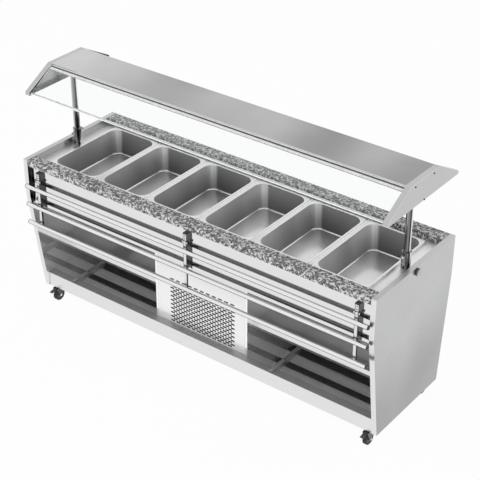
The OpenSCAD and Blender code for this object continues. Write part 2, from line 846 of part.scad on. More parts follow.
// Machine: compressor on its base plate
compressor_x = -190;
compressor_y = 110;
compressor_plate = 210;
compressor_plate_t = 3;
compressor_foot_d = 26;
compressor_foot_h = 15;
compressor_foot_inset = 22;
compressor_dome = 55;
relay_w = 60;
relay_d = 30;
relay_h = 70;
relay_rise = 60;
stub_l = 15;
stub_rise = 120;
stub_z = floor_z + stub_rise;
stub_left = compressor_x - compressor_d / 2 - stub_l;
stub_right = compressor_x + compressor_d / 2 + stub_l;
module compressor()
    color("dimgray")
        translate([compressor_x, compressor_y, floor_z]) {
            slab(-compressor_plate / 2, compressor_plate / 2, -compressor_plate / 2, compressor_plate / 2,
                 compressor_foot_h, compressor_foot_h + compressor_plate_t);
            for (sx = [-1, 1], sy = [-1, 1])
                translate([sx * (compressor_plate / 2 - compressor_foot_inset),
                           sy * (compressor_plate / 2 - compressor_foot_inset), 0])
                    cylinder(d = compressor_foot_d, h = compressor_foot_h);
            translate([0, 0, compressor_foot_h + compressor_plate_t])
                rotate_extrude()
                    intersection() {
                        square([compressor_d / 2, compressor_h]);
                        union() {
                            square([compressor_d / 2, compressor_h - compressor_dome]);
                            translate([0, compressor_h - compressor_dome])
                                scale([compressor_d / 2, compressor_dome])
                                    circle(1);
                        }
                    }
            slab(-relay_w / 2, relay_w / 2, -compressor_d / 2 - relay_d, -compressor_d / 4,
                 relay_rise, relay_rise + relay_h);
            bar_x(pipe_d, -compressor_d / 2 - stub_l, compressor_d / 2 + stub_l, 0, stub_rise);
        }

// Condenser block behind the grille, with the fan's round duct
cond_w = 320;
cond_h = 250;
cond_d = 50;
cond_gap = 12;
duct_l = 34;
duct_wall = 2;
duct_gap = 4;
fan_z = floor_z + cond_h / 2;
cond_front = -comp_front + skin_t + cond_gap;
cond_back = cond_front + cond_d;
module condenser()
    color("silver") {
        slab(machine_x - cond_w / 2, machine_x + cond_w / 2, cond_front, cond_back,
             floor_z, floor_z + cond_h);
        difference() {
            bar_y(fan_d + 2 * duct_gap + 2 * duct_wall, machine_x, cond_back, cond_back + duct_l, fan_z);
            bar_y(fan_d + 2 * duct_gap, machine_x, cond_back, cond_back + duct_l + overrun, fan_z);
        }
    }

// Fan: motor on a foot, and a rotor on the motor's shaft
rotor_gap = 5;
rotor_t = 20;
rotor_hub_d = 52;
rotor_shaft_d = 8;
rotor_shaft_l = 24;
blade_count = 5;
blade_w = 46;
blade_t = 2;
blade_tilt = 24;
motor_d = 84;
motor_l = 66;
motor_gap = 6;
motor_foot_w = 50;
motor_foot_d = 24;
rotor_y = cond_back + rotor_gap;
motor_y = rotor_y + rotor_t + motor_gap;
module fan_motor()
    color("dimgray")
        difference() {
            union() {
                bar_y(motor_d, machine_x, motor_y, motor_y + motor_l, fan_z);
                slab(machine_x - motor_foot_w / 2, machine_x + motor_foot_w / 2,
                     motor_y + motor_foot_d, motor_y + 2 * motor_foot_d, floor_z, fan_z);
            }
            bar_y(rotor_shaft_d + 2 * run_gap, machine_x, motor_y - overrun, motor_y + rotor_shaft_l, fan_z);
        }

module fan_rotor()
    color("black") {
        bar_y(rotor_hub_d, machine_x, rotor_y, rotor_y + rotor_t, fan_z);
        bar_y(rotor_shaft_d, machine_x, rotor_y, motor_y + rotor_shaft_l - fit_gap, fan_z);
        translate([machine_x, rotor_y + rotor_t / 2, fan_z])
            for (i = [0:blade_count - 1])
                rotate([0, i * 360 / blade_count, 0])
                    translate([rotor_hub_d / 4, 0, 0])
                        rotate([blade_tilt, 0, 0])
                            translate([0, -blade_t / 2, -blade_w / 2])
                                cube([fan_d / 2 - rotor_hub_d / 4 - duct_gap, blade_t, blade_w]);
    }

// Control box on the back, with the thermostat, the switch and the cable's inlet gland
box_w = 220;
box_h = 90;
box_d = 40;
box_x = -160;
box_rise = 420;
gland_d = 22;
gland_bore = 10;
gland_l = 18;
gland_x = -80;
dial_d = 34;
dial_t = 14;
dial_x = 0;
dial_shaft_d = 6;
dial_shaft_l = 12;
switch_x = 60;
switch_w = 24;
switch_h = 30;
switch_t = 8;
switch_pin_d = 4;
switch_gap = 1;
switch_angle = 8;
box_z = floor_z + box_rise;
box_face = rail_rear + box_d;
module control_box()
    color("dimgray")
        translate([box_x, 0, box_z])
            difference() {
                union() {
                    slab(-box_w / 2, box_w / 2, rail_rear, box_face, -box_h / 2, box_h / 2);
                    bar_z(gland_d, gland_x, rail_rear + box_d / 2, -box_h / 2 - gland_l, -box_h / 2);
                }
                bar_z(gland_bore, gland_x, rail_rear + box_d / 2, -box_h / 2 - gland_l - overrun,
                      -box_h / 2 + gland_l);
                bar_y(dial_shaft_d + 2 * run_gap, dial_x, box_face - dial_shaft_l, box_face + overrun, 0);
                slab(switch_x - switch_w / 2 - switch_gap, switch_x + switch_w / 2 + switch_gap,
                     box_face - 2 * switch_t, box_face + overrun,
                     -switch_h / 2 - switch_gap, switch_h / 2 + switch_gap);
                bar_x(switch_pin_d + 2 * run_gap, switch_x - switch_w / 2 - 2 * switch_t,
                      switch_x + switch_w / 2 + 2 * switch_t, box_face - switch_t, 0);
            }

module thermostat_knob()
    color("black")
        translate([box_x + dial_x, 0, box_z]) {
            bar_y(dial_d, 0, box_face + seat_gap, box_face + dial_t, 0);
            bar_y(dial_shaft_d, 0, box_face - dial_shaft_l + fit_gap, box_face + dial_t, 0);
        }

// Rocker: tilted to its off side at rest
module power_switch()
    color("crimson")
        translate([box_x + switch_x, box_face - switch_t, box_z]) {
            bar_x(switch_pin_d, -switch_w / 2 - switch_t, switch_w / 2 + switch_t, 0, 0);
            rotate([switch_angle, 0, 0])
                slab(-switch_w / 2, switch_w / 2, -switch_pin_d, switch_t, -switch_h / 2 + switch_gap,
                     switch_h / 2 - switch_gap);
        }

// Drain: a pipe from the well down through the floor, with a ball valve and its lever below
valve_d = 44;
valve_h = 50;
valve_drop = 41;
spout_l = 25;
stem_d = 10;
stem_l = 12;
lever_l = 90;
lever_w = 18;
lever_t = 4;
lever_hub = 22;
valve_z = floor_z - valve_drop;
lever_y = drain_y + valve_d / 2 + stem_l;
module drain_valve()
    color("peru")
        difference() {
            union() {
                bar_z(drain_d, drain_x, drain_y, valve_z - valve_h / 2 - spout_l, well_bottom);
                bar_z(valve_d, drain_x, drain_y, valve_z - valve_h / 2, valve_z + valve_h / 2);
            }
            bar_z(drain_bore, drain_x, drain_y, valve_z - valve_h / 2 - spout_l - overrun,
                  well_bottom + overrun);
            bar_y(stem_d + 2 * run_gap, drain_x, drain_y + drain_d / 2, drain_y + valve_d, valve_z);
        }

module drain_lever()
    color("crimson") {
        bar_y(stem_d, drain_x, drain_y + drain_d / 2 + seat_gap, lever_y, valve_z);
        bar_y(lever_hub, drain_x, lever_y - lever_t, lever_y, valve_z);
        slab(drain_x - lever_l, drain_x, lever_y - lever_t, lever_y,
             valve_z - lever_w / 2, valve_z + lever_w / 2);
    }

// Copper pipes: compressor to condenser, condenser to well, and well back to compressor
pipe_d = 10;
pipe_turn = 8;
pipe_inset = 18;
liquid_rise = 220;
module pipe_elbow(x, y, z)
    translate([x, y, z])
        sphere(d = pipe_d);

module refrigerant_pipes()
    color("peru") {
        bar_x(pipe_d, stub_right, stub_right + pipe_turn, compressor_y, stub_z);
        pipe_elbow(stub_right + pipe_turn, compressor_y, stub_z);
        bar_y(pipe_d, stub_right + pipe_turn, cond_back, compressor_y, stub_z);
        bar_y(pipe_d, machine_x - cond_w / 2 + pipe_inset, cond_back, cond_back + duct_l,
              floor_z + liquid_rise);
        pipe_elbow(machine_x - cond_w / 2 + pipe_inset, cond_back + duct_l, floor_z + liquid_rise);
        bar_z(pipe_d, machine_x - cond_w / 2 + pipe_inset, cond_back + duct_l,
              floor_z + liquid_rise, well_bottom);
        bar_x(pipe_d, stub_left - pipe_turn, stub_left, compressor_y, stub_z);
        pipe_elbow(stub_left - pipe_turn, compressor_y, stub_z);
        bar_z(pipe_d, stub_left - pipe_turn, compressor_y, stub_z, well_bottom);
    }

// Everything is drawn about the body's middle and then moved to the middle of the footprint
module placed()
    translate([0, shift_y, 0])
        children();

placed() left_end_panel();
placed() right_end_panel();
placed() base_pan();
placed() base_crossmembers();
placed() caster_plates();
placed() front_fascia();
placed() rear_panel();
placed() mid_shelf_left();
placed() mid_shelf_right();
placed() bay_ribs();
placed() compartment_walls();
placed() front_grille();
placed() well_deck();
placed() cold_well();
placed() divider_bars();
placed() front_granite();
placed() rear_granite();
placed() post_left();
placed() post_right();
placed() post_sleeves();
placed() canopy_shelf();
placed() canopy_cheek_left();
placed() canopy_cheek_right();
placed() front_glass();
placed() glass_channel();
placed() light_bar();
placed() tray_brackets();
placed() compressor();
placed() condenser();
placed() fan_motor();
placed() control_box();
placed() refrigerant_pipes();
placed() drain_valve();
placed() tray_arms();
placed() tray_tubes();
placed() tray_end_caps();
placed() pan_1();
placed() pan_2();
placed() pan_3();
placed() pan_4();
placed() pan_5();
placed() pan_6();
placed() fork_front_left();
placed() fork_front_right();
placed() fork_rear_left();
placed() fork_rear_right();
placed() wheel_front_left();
placed() wheel_front_right();
placed() wheel_rear_left();
placed() wheel_rear_right();
placed() pedal_front_left();
placed() pedal_front_right();
placed() pedal_rear_left();
placed() pedal_rear_right();
placed() clamp_knob_left();
placed() clamp_knob_right();
placed() fan_rotor();
placed() thermostat_knob();
placed() power_switch();
placed() drain_lever();
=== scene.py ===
import json
from contextlib import contextmanager
from math import atan2, pi, radians

import bmesh
import bpy
from bpy.props import FloatProperty, FloatVectorProperty, IntProperty, PointerProperty
from bpy.types import NodeSocket, Operator, Panel, PropertyGroup
from mathutils import Euler, Matrix, Vector


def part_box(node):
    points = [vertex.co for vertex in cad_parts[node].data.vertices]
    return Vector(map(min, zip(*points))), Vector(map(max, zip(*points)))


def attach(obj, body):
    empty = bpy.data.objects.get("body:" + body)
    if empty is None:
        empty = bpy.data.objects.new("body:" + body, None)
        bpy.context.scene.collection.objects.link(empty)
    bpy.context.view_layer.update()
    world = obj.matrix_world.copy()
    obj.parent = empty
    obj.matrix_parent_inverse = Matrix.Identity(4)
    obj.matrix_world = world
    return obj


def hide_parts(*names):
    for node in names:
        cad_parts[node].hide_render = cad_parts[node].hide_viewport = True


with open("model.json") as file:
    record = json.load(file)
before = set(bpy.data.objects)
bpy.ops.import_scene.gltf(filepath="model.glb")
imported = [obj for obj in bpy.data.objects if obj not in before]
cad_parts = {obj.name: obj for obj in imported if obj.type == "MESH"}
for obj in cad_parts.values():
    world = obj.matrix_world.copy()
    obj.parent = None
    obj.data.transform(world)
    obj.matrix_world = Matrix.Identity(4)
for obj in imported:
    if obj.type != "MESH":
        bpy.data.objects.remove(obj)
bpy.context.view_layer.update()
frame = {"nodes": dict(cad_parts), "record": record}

bl_info = {
    "name": "Mobile salad bar",
    "version": (1, 0, 0),
    "blender": (4, 5, 0),
    "location": "3D View > Sidebar > Salad Bar",
    "description": "Dresses the salad bar's frame with modelled pieces, finishes and a plain stage",
    "category": "Object",
}

NODES = frame["nodes"]
RECORD = frame["record"]
BODY_OF = {node: body for body, nodes in RECORD["behaviour"]["bodies"].items() for node in nodes}
JOINT_AT = {joint["name"]: Vector(joint["pos_m"]) for joint in RECORD["behaviour"]["joints"]
            if joint.get("pos_m")}
MIDDLE_Y = (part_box("front_granite")[0].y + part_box("rear_granite")[1].y) / 2
POST_X = (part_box("post_right")[0].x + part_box("post_right")[1].x) / 2
CORNERS = ("front_left", "front_right", "rear_left", "rear_right")


def length(name, description, default):
    return FloatProperty(name=name, description=description, default=default, unit="LENGTH")


def tint(name, description, default):
    return FloatVectorProperty(name=name, description=description, default=default,
                               subtype="COLOR", size=3, min=0, max=1)


class SaladBarSizes(PropertyGroup):
    """Sizes of the details that the frame leaves open"""
    sheet_edge: length("Sheet Edge", "Rounding of the folded sheets' edges", 0.0007)
    stone_edge: length("Stone Edge", "Polished rounding of the stone strips", 0.003)
    stone_chip: length("Stone Chip", "Width of one chip in the stone", 0.0085)
    pan_flange: length("Pan Flange", "Width of a pan's flat rim", 0.0125)
    pan_corner: length("Pan Corner", "Corner radius of a pan's mouth", 0.055)
    pan_taper: length("Pan Taper", "How far a pan's wall leans in to its foot", 0.021)
    pan_round: length("Pan Bottom Round", "Radius round a pan's bottom", 0.006)
    slot_relief: length("Slot Relief", "How far each grille slot's walls stand back", 0.0013)
    glass_lip: length("Glass Lip", "Height of the glass's pale lower edge", 0.0068)
    screw_head: length("Screw Head", "Diameter of the panels' screw heads", 0.009)
    knob_flutes: IntProperty(name="Knob Flutes", description="Flutes round a clamp knob", default=16, min=6)
    fin_pitch: length("Fin Pitch", "Distance between the condenser's fins", 0.005)


class SaladBarColours(PropertyGroup):
    """Colours of the finishes"""
    # Where Bright Sheet picks out folded edges, rims and fronts of darker sheets, this tone is a painted
    # highlight
    polished: tint("Polished Steel", "Fascia, uprights and folded edges", (0.77, 0.77, 0.775))
    panel: tint("Panel Steel", "End panels, rear panel and cheeks", (0.52, 0.522, 0.528))
    canopy: tint("Canopy Steel", "Canopy shelf", (0.6, 0.6, 0.6))
    bay: tint("Bay Steel", "Sheets inside the open bays", (0.95, 0.95, 0.955))
    pan: tint("Pan Steel", "Food pans", (0.91, 0.91, 0.912))
    stone_dark: tint("Stone Dark", "Dark chips of the stone", (0.06, 0.06, 0.061))
    stone_middle: tint("Stone Middle", "Grey chips of the stone", (0.19, 0.19, 0.19))
    stone_pale: tint("Stone Pale", "Pale chips of the stone", (0.6, 0.6, 0.59))
    switch_red: tint("Switch Red", "Rocker and drain lever", (0.45, 0.012, 0.01))


def sizes():
    return bpy.context.scene.salad_bar_sizes


def colours():
    return bpy.context.scene.salad_bar_colours


def at(x, y, z):
    """A place given in millimetres about the cabinet's middle, on the floor."""
    return Vector((x / 1000, y / 1000 + MIDDLE_Y, z / 1000))


# Selecting, adding and copying

def select_only(*pieces):
    bpy.ops.object.select_all(action="DESELECT")
    for piece in pieces:
        piece.select_set(True)
    bpy.context.view_layer.objects.active = pieces[0]


def settle(piece):
    """Puts a piece's place, turn and scale into its mesh."""
    select_only(piece)
    bpy.ops.object.transform_apply(location=True, rotation=True, scale=True)


@contextmanager
def editing(piece, kind="FACE", everything=False):
    """Edit mode on one piece, with nothing or everything selected at its start."""
    select_only(piece)
    bpy.ops.object.mode_set(mode="EDIT")
    bpy.ops.mesh.select_mode(type=kind)
    bpy.ops.mesh.select_all(action="SELECT" if everything else "DESELECT")
    yield
    bpy.ops.object.mode_set(mode="OBJECT")


def pick_faces(piece, wanted):
    """Selects the faces for which wanted(middle, normal) holds."""
    bpy.ops.mesh.select_mode(type="FACE")
    bpy.ops.mesh.select_all(action="DESELECT")
    mesh = bmesh.from_edit_mesh(piece.data)
    for face in mesh.faces:
        if wanted(face.calc_center_median(), face.normal):
            face.select_set(True)
    bmesh.update_edit_mesh(piece.data)


def pick_edges(piece, wanted, open_only=False):
    """Selects the edges for which wanted(end, end) holds."""
    bpy.ops.mesh.select_mode(type="EDGE")
    bpy.ops.mesh.select_all(action="DESELECT")
    mesh = bmesh.from_edit_mesh(piece.data)
    for edge in mesh.edges:
        if (edge.is_boundary or not open_only) and wanted(edge.verts[0].co, edge.verts[1].co):
            edge.select_set(True)
    bmesh.update_edit_mesh(piece.data)


def extrude(x=0, y=0, z=0):
    bpy.ops.mesh.extrude_region_move(TRANSFORM_OT_translate={"value": (x, y, z)})


def add_block(name, low, high, edge=0.0, segments=2):
    """A block between two corners, with its edges rounded."""
    bpy.ops.object.select_all(action="DESELECT")
    bpy.ops.mesh.primitive_cube_add(size=1, location=(Vector(low) + Vector(high)) / 2)
    piece = bpy.context.active_object
    piece.name = name
    piece.scale = [abs(b - a) for a, b in zip(low, high)]
    settle(piece)
    if edge:
        with editing(piece, "EDGE", everything=True):
            bpy.ops.mesh.bevel(offset=edge, segments=segments, affect="EDGES")
    return piece


def turned(name, outline, place=(0, 0, 0), axis=(0, 0, 1), sides=40, ring=False):
    """A turned piece: a ring extruded and scaled through (radius, height) in millimetres along axis."""
    bpy.ops.object.select_all(action="DESELECT")
    bpy.ops.mesh.primitive_circle_add(vertices=sides, radius=outline[0][0] / 1000,
                                      location=(0, 0, outline[0][1] / 1000), fill_type="NOTHING")
    piece = bpy.context.active_object
    piece.name = name
    settle(piece)
    with editing(piece, "EDGE", everything=True):
        for (r0, z0), (r1, z1) in zip(outline, outline[1:]):
            extrude(z=(z1 - z0) / 1000)
            bpy.ops.transform.resize(value=(r1 / r0, r1 / r0, 1), center_override=(0, 0, 0))
        if ring:
            bpy.ops.mesh.select_all(action="SELECT")
            bpy.ops.mesh.remove_doubles(threshold=0.000001)
        else:
            bpy.ops.mesh.edge_face_add()
            pick_edges(piece, lambda a, b: True, open_only=True)
            bpy.ops.mesh.edge_face_add()
        bpy.ops.mesh.select_all(action="SELECT")
        bpy.ops.mesh.normals_make_consistent(inside=False)
    turn = Vector(axis).to_track_quat("Z", "Y").to_matrix().to_4x4()
    piece.data.transform(Matrix.Translation(place) @ turn)
    return piece


def copied(piece, name, move):
    """A copy with its own mesh, moved by a matrix that doesn't mirror it."""
    twin = bpy.data.objects.new(name, piece.data.copy())
    bpy.context.scene.collection.objects.link(twin)
    twin.data.transform(move)
    return twin


def joined(name, pieces):
    select_only(*pieces)
    if len(pieces) > 1:
        bpy.ops.object.join()
    piece = bpy.context.active_object
    piece.name = name
    return piece


def row_of(name, piece, places):
    """One piece made of copies of a piece at the origin, each moved to a place and faced along a normal."""
    twins = []
    for place, normal in places:
        turn = Vector(normal).to_track_quat("Z", "Y").to_matrix().to_4x4()
        twins.append(copied(piece, name, Matrix.Translation(place) @ turn))
    bpy.data.objects.remove(piece)
    return joined(name, twins)


def round_edges(piece, width, segments=2):
    """Bevels the edges between faces that meet at more than 35 degrees."""
    select_only(piece)
    bevel = piece.modifiers.new("edges", "BEVEL")
    bevel.width = width
    bevel.segments = segments
    bevel.limit_method = "ANGLE"
    bevel.angle_limit = radians(35)
    bpy.ops.object.modifier_apply(modifier=bevel.name)


def softened(node, width, segments=2):
    """A copy of a frame node with its loose triangles merged and its edges rounded."""
    piece = bpy.data.objects.new(node + "_dressed", NODES[node].data.copy())
    bpy.context.scene.collection.objects.link(piece)
    with editing(piece, "VERT", everything=True):
        bpy.ops.mesh.remove_doubles(threshold=0.00002)
        bpy.ops.mesh.dissolve_limited(angle_limit=radians(0.5))
    if piece.data.has_custom_normals:
        bpy.ops.mesh.customdata_custom_splitnormals_clear()
    if width:
        round_edges(piece, width, segments)
    return piece


def split(piece, point, normal):
    """Cuts a piece's faces along a plane, so that each side can have its own finish."""
    with editing(piece, everything=True):
        bpy.ops.mesh.bisect(plane_co=point, plane_no=normal)


def dress(piece, look, node=None, body="cabinet", angle=35):
    """Shades a piece, gives it its finish and lets it ride; a node given here is replaced by it."""
    select_only(piece)
    bpy.ops.object.shade_smooth_by_angle(angle=radians(angle))
    flat = piece.modifiers.new("flat_faces", "WEIGHTED_NORMAL")
    flat.keep_sharp = True
    bpy.ops.object.modifier_apply(modifier=flat.name)
    piece.data.materials.clear()
    piece.data.materials.append(finish(look))
    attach(piece, BODY_OF[node] if node else body)
    if node:
        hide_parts(node)
    return piece


def paint_faces(piece, look, wanted):
    """Gives the faces for which wanted(middle, normal) holds another finish."""
    piece.data.materials.append(finish(look))
    number = len(piece.data.materials) - 1
    for face in piece.data.polygons:
        if wanted(face.center, face.normal):
            face.material_index = number


def screw_head(diameter):
    """A button head with a round socket, standing on the origin."""
    r = diameter * 500
    return turned("screw_head", [(r, 0), (r, 0.25 * r), (0.86 * r, 0.5 * r), (0.6 * r, 0.62 * r),
                                 (0.42 * r, 0.64 * r), (0.38 * r, 0.3 * r)], sides=16)


def hex_head(across, height):
    """A hexagon head on its washer, standing on the origin."""
    r = across * 500
    h = height * 1000
    washer = turned("washer", [(1.25 * r, 0), (1.25 * r, 0.2 * h), (1.1 * r, 0.25 * h)], sides=20)
    head = turned("head", [(r, 0.2 * h), (r, 0.9 * h), (0.88 * r, h)], sides=6)
    return joined("hex_head", [washer, head])


# Finishes

class Wiring:
    """Adds nodes to one node tree and links them."""

    def __init__(self, tree):
        self.tree = tree

    def add(self, kind, inputs=None, **settings):
        node = self.tree.nodes.new("ShaderNode" + kind)
        for key, value in settings.items():
            setattr(node, key, value)
        for key, value in (inputs or {}).items():
            self.feed(node.inputs[key], value)
        return node

    def feed(self, socket, value):
        if isinstance(value, NodeSocket):
            self.tree.links.new(value, socket)
        else:
            socket.default_value = value

    def place(self):
        return self.add("TexCoord").outputs["Object"]

    def noise(self, vector, scale, detail=2.0, roughness=0.5):
        return self.add("TexNoise", {"Vector": vector, "Scale": scale, "Detail": detail,
                                     "Roughness": roughness}).outputs["Fac"]

    def spread(self, value, low, high, new_low=0.0, new_high=1.0):
        return self.add("MapRange", {"Value": value, "From Min": low, "From Max": high,
                                     "To Min": new_low, "To Max": new_high}).outputs["Result"]

    def math(self, operation, a, b=0.5):
        return self.add("Math", {0: a, 1: b}, operation=operation).outputs[0]

    def blend(self, factor, a, b, how="MIX"):
        node = self.add("Mix", data_type="RGBA", blend_type=how)
        for index, value in ((0, factor), (6, a), (7, b)):
            self.feed(node.inputs[index], value)
        return node.outputs[2]

    def bands(self, direction, stops):
        """Painted light and shade: tones by how far a face turns towards a direction, from (turn, tone)
        stops.
        """
        node = self.add("ValToRGB", {"Fac": self.shared("Facing", {"Direction": direction})["Turn"]})
        while len(node.color_ramp.elements) < len(stops):
            node.color_ramp.elements.new(1.0)
        for element, (position, tone) in zip(node.color_ramp.elements, stops):
            element.position = position
            element.color = (tone, tone, tone, 1)
        return node.outputs["Color"]

    def bump(self, height, strength, distance):
        return self.add("Bump", {"Height": height, "Strength": strength,
                                 "Distance": distance}).outputs["Normal"]

    def shared(self, name, inputs=None):
        """A shared effect's outputs; its node group is built when it is first asked for."""
        group = bpy.data.node_groups.get(name) or EFFECTS[name](name)
        return self.add("Group", inputs, node_tree=group).outputs


def effect(name, inputs, outputs):
    """A new node group with its sockets: (its tree, its wiring, what it is given, its results)."""
    tree = bpy.data.node_groups.new(name, "ShaderNodeTree")
    for label, kind, default in inputs:
        tree.interface.new_socket(label, in_out="INPUT", socket_type=kind).default_value = default
    for label, kind in outputs:
        tree.interface.new_socket(label, in_out="OUTPUT", socket_type=kind)
    wires = Wiring(tree)
    return tree, wires, tree.nodes.new("NodeGroupInput").outputs, tree.nodes.new("NodeGroupOutput").inputs


def sheet_grain(name):
    """Fine streaks left by the rolling and brushing of the sheet."""
    tree, wires, given, result = effect(name, [("Stretch", "NodeSocketVector", (3, 300, 300))],
                                        [("Streaks", "NodeSocketFloat")])
    stretched = wires.add("VectorMath", {0: wires.place(), 1: given["Stretch"]}, operation="MULTIPLY")
    wires.feed(result["Streaks"], wires.noise(stretched.outputs[0], 1.0, 4.0, 0.6))
    return tree


def soft_gleam(name):
    """Painted reflection: broad soft patches, as of a bright room seen in a slightly uneven sheet."""
    tree, wires, given, result = effect(name, [("Stretch", "NodeSocketVector", (1, 1, 1))],
                                        [("Gleam", "NodeSocketFloat")])
    stretched = wires.add("VectorMath", {0: wires.place(), 1: given["Stretch"]}, operation="MULTIPLY")
    wires.feed(result["Gleam"], wires.spread(wires.noise(stretched.outputs[0], 1.0, 0.0), 0.38, 0.62))
    return tree


def hand_marks(name):
    """Cloudy patches where the sheet was wiped and touched."""
    tree, wires, given, result = effect(name, [("Scale", "NodeSocketFloat", 6.0)],
                                        [("Marks", "NodeSocketFloat")])
    clouds = wires.noise(wires.place(), given["Scale"], 4.0, 0.55)
    wires.feed(result["Marks"], wires.spread(clouds, 0.42, 0.72))
    return tree


def settled_dust(name):
    """A thin veil on what faces up."""
    tree, wires, given, result = effect(name, [("Amount", "NodeSocketFloat", 0.2)],
                                        [("Dust", "NodeSocketFloat")])
    normal = wires.add("NewGeometry").outputs["Normal"]
    up = wires.add("SeparateXYZ", {0: normal}).outputs["Z"]
    veil = wires.math("MULTIPLY", wires.spread(up, 0.4, 1.0), wires.noise(wires.place(), 14.0, 5.0, 0.6))
    wires.feed(result["Dust"], wires.math("MULTIPLY", veil, given["Amount"]))
    return tree


def worn_edges(name):
    """Bright rubbed corners."""
    tree, wires, given, result = effect(name, [("Scale", "NodeSocketFloat", 60.0)],
                                        [("Wear", "NodeSocketFloat")])
    sharp = wires.spread(wires.add("NewGeometry").outputs["Pointiness"], 0.53, 0.62)
    broken = wires.spread(wires.noise(wires.place(), given["Scale"], 3.0), 0.4, 0.65)
    wires.feed(result["Wear"], wires.math("MULTIPLY", sharp, broken))
    return tree


def stone_chips(name):
    """Dark, grey and pale chips pressed together and polished."""
    grey = (0.2, 0.2, 0.2, 1)
    tree, wires, given, result = effect(
        name,
        [("Chips", "NodeSocketFloat", 110.0), ("Dark", "NodeSocketColor", grey),
         ("Middle", "NodeSocketColor", grey), ("Pale", "NodeSocketColor", grey)],
        [("Color", "NodeSocketColor"), ("Relief", "NodeSocketFloat")])
    place = wires.place()
    drift = wires.add("TexNoise", {"Vector": place, "Scale": 130.0, "Detail": 2.0}).outputs["Color"]
    nudged = wires.add("VectorMath", {0: drift, 1: (0.012, 0.012, 0.012)}, operation="MULTIPLY")
    warped = wires.add("VectorMath", {0: place, 1: nudged.outputs[0]}, operation="ADD").outputs[0]
    chips = wires.add("TexVoronoi", {"Vector": warped, "Scale": given["Chips"]})
    pick = wires.add("SeparateColor", {0: chips.outputs["Color"]}).outputs[0]
    dark_or_middle = wires.blend(wires.spread(pick, 0.34, 0.36), given["Dark"], given["Middle"])
    shade = wires.blend(wires.spread(pick, 0.66, 0.68), dark_or_middle, given["Pale"])
    flecks = wires.noise(place, 420.0, 3.0, 0.7)
    mottled = wires.blend(wires.spread(flecks, 0.58, 0.7, 0.0, 0.55), shade, given["Dark"])
    wires.feed(result["Color"], mottled)
    wires.feed(result["Relief"], flecks)
    return tree


def facing(name):
    """How far a face turns towards a direction of the room, from 0 to 1, as the lighting there does."""
    tree, wires, given, result = effect(name, [("Direction", "NodeSocketVector", (0, 0, 1))],
                                        [("Turn", "NodeSocketFloat")])
    normal = wires.add("NewGeometry").outputs["Normal"]
    dot = wires.add("VectorMath", {0: normal, 1: given["Direction"]}, operation="DOT_PRODUCT")
    wires.feed(result["Turn"], wires.spread(dot.outputs["Value"], -1.0, 1.0))
    return tree


EFFECTS = {"Facing": facing, "Soft Gleam": soft_gleam, "Sheet Grain": sheet_grain, "Hand Marks": hand_marks,
           "Settled Dust": settled_dust, "Worn Edges": worn_edges, "Stone Chips": stone_chips}


def new_material(name):
    """A new material: (itself, its wiring, the inputs of its shader)."""
    material = bpy.data.materials.new(name)
    material.use_nodes = True
    shader = material.node_tree.nodes["Principled BSDF"]
    return material, Wiring(material.node_tree), shader.inputs


def darker(colour, share):
    """A colour times a share, with full alpha."""
    return (colour[0] * share, colour[1] * share, colour[2] * share, 1)


def steel(name, colour, roughness, stretch, relief, contrast, sweep=None, bands=None, gleam=None,
          metal=1.0, dusty=0.12):
    """Rolled or brushed steel: streaks along the sheet, wiping marks and a little dust.

    sweep is (axis, start, end, share): painted shade, the tone falls to that share from start to end along
    the axis.
    bands is (direction, stops): painted reflection and shade, tones by how far a face turns towards a
    direction.
    gleam is (stretch, share): painted reflection, broad patches of tone down to that share, drawn out as
    stretch says.
    """
    material, wires, shader = new_material(name)
    streaks = wires.shared("Sheet Grain", {"Stretch": stretch})["Streaks"]
    marks = wires.shared("Hand Marks", {"Scale": 5.0})["Marks"]
    dust = wires.shared("Settled Dust", {"Amount": dusty})["Dust"]
    tone = wires.blend(wires.spread(streaks, 0.3, 0.7), darker(colour, contrast), darker(colour, 1.0))
    # Painted shade: the tone falls along an axis, with a cloudy edge
    if sweep:
        axis, start, end, share = sweep
        along = wires.add("SeparateXYZ", {0: wires.place()}).outputs[axis]
        cloud = wires.spread(wires.noise(wires.place(), 2.2, 1.0), 0.3, 0.7, -0.25, 0.25)
        reach = wires.math("ADD", wires.spread(along, start, end), cloud)
        tone = wires.blend(reach, tone, wires.blend(1.0, tone, (share, share, share, 1), "MULTIPLY"))
    # Painted reflection and shade by the way each face turns
    if bands:
        tone = wires.blend(1.0, tone, wires.bands(*bands), "MULTIPLY")
    # Painted reflection: broad darker patches
    if gleam:
        patches = wires.shared("Soft Gleam", {"Stretch": gleam[0]})["Gleam"]
        tone = wires.blend(patches, wires.blend(1.0, tone, darker((1, 1, 1), gleam[1]), "MULTIPLY"), tone)
    wires.feed(shader["Base Color"], wires.blend(dust, tone, (0.55, 0.54, 0.52, 1)))
    shader["Metallic"].default_value = metal
    wiped = wires.math("ADD", wires.spread(streaks, 0.3, 0.7, roughness * 0.93, roughness * 1.07),
                       wires.math("MULTIPLY", marks, roughness * 0.5))
    wires.feed(shader["Roughness"], wires.math("ADD", wiped, dust))
    if relief:
        wires.feed(shader["Normal"], wires.bump(streaks, relief, 0.0003))
    return material


def moulded(name, colour, roughness, relief=0.12, grain=900.0, coat=0.0, wear=None):
    """Moulded or painted surface with a fine texture and rubbed edges."""
    material, wires, shader = new_material(name)
    skin = wires.noise(wires.place(), grain, 2.0)
    marks = wires.shared("Hand Marks", {"Scale": 20.0})["Marks"]
    dust = wires.shared("Settled Dust", {"Amount": 0.25})["Dust"]
    rubbed = wires.shared("Worn Edges", {"Scale": 70.0})["Wear"]
    tone = wires.blend(marks, darker(colour, 0.88), darker(colour, 1.0))
    worn = wires.blend(wires.math("MULTIPLY", rubbed, 0.5), tone, wear or darker(colour, 1.5))
    wires.feed(shader["Base Color"], wires.blend(dust, worn, (0.4, 0.39, 0.37, 1)))
    wires.feed(shader["Roughness"], wires.spread(marks, 0.0, 1.0, roughness, roughness * 1.25))
    wires.feed(shader["Normal"], wires.bump(skin, relief, 0.0002))
    shader["Coat Weight"].default_value = coat
    return material


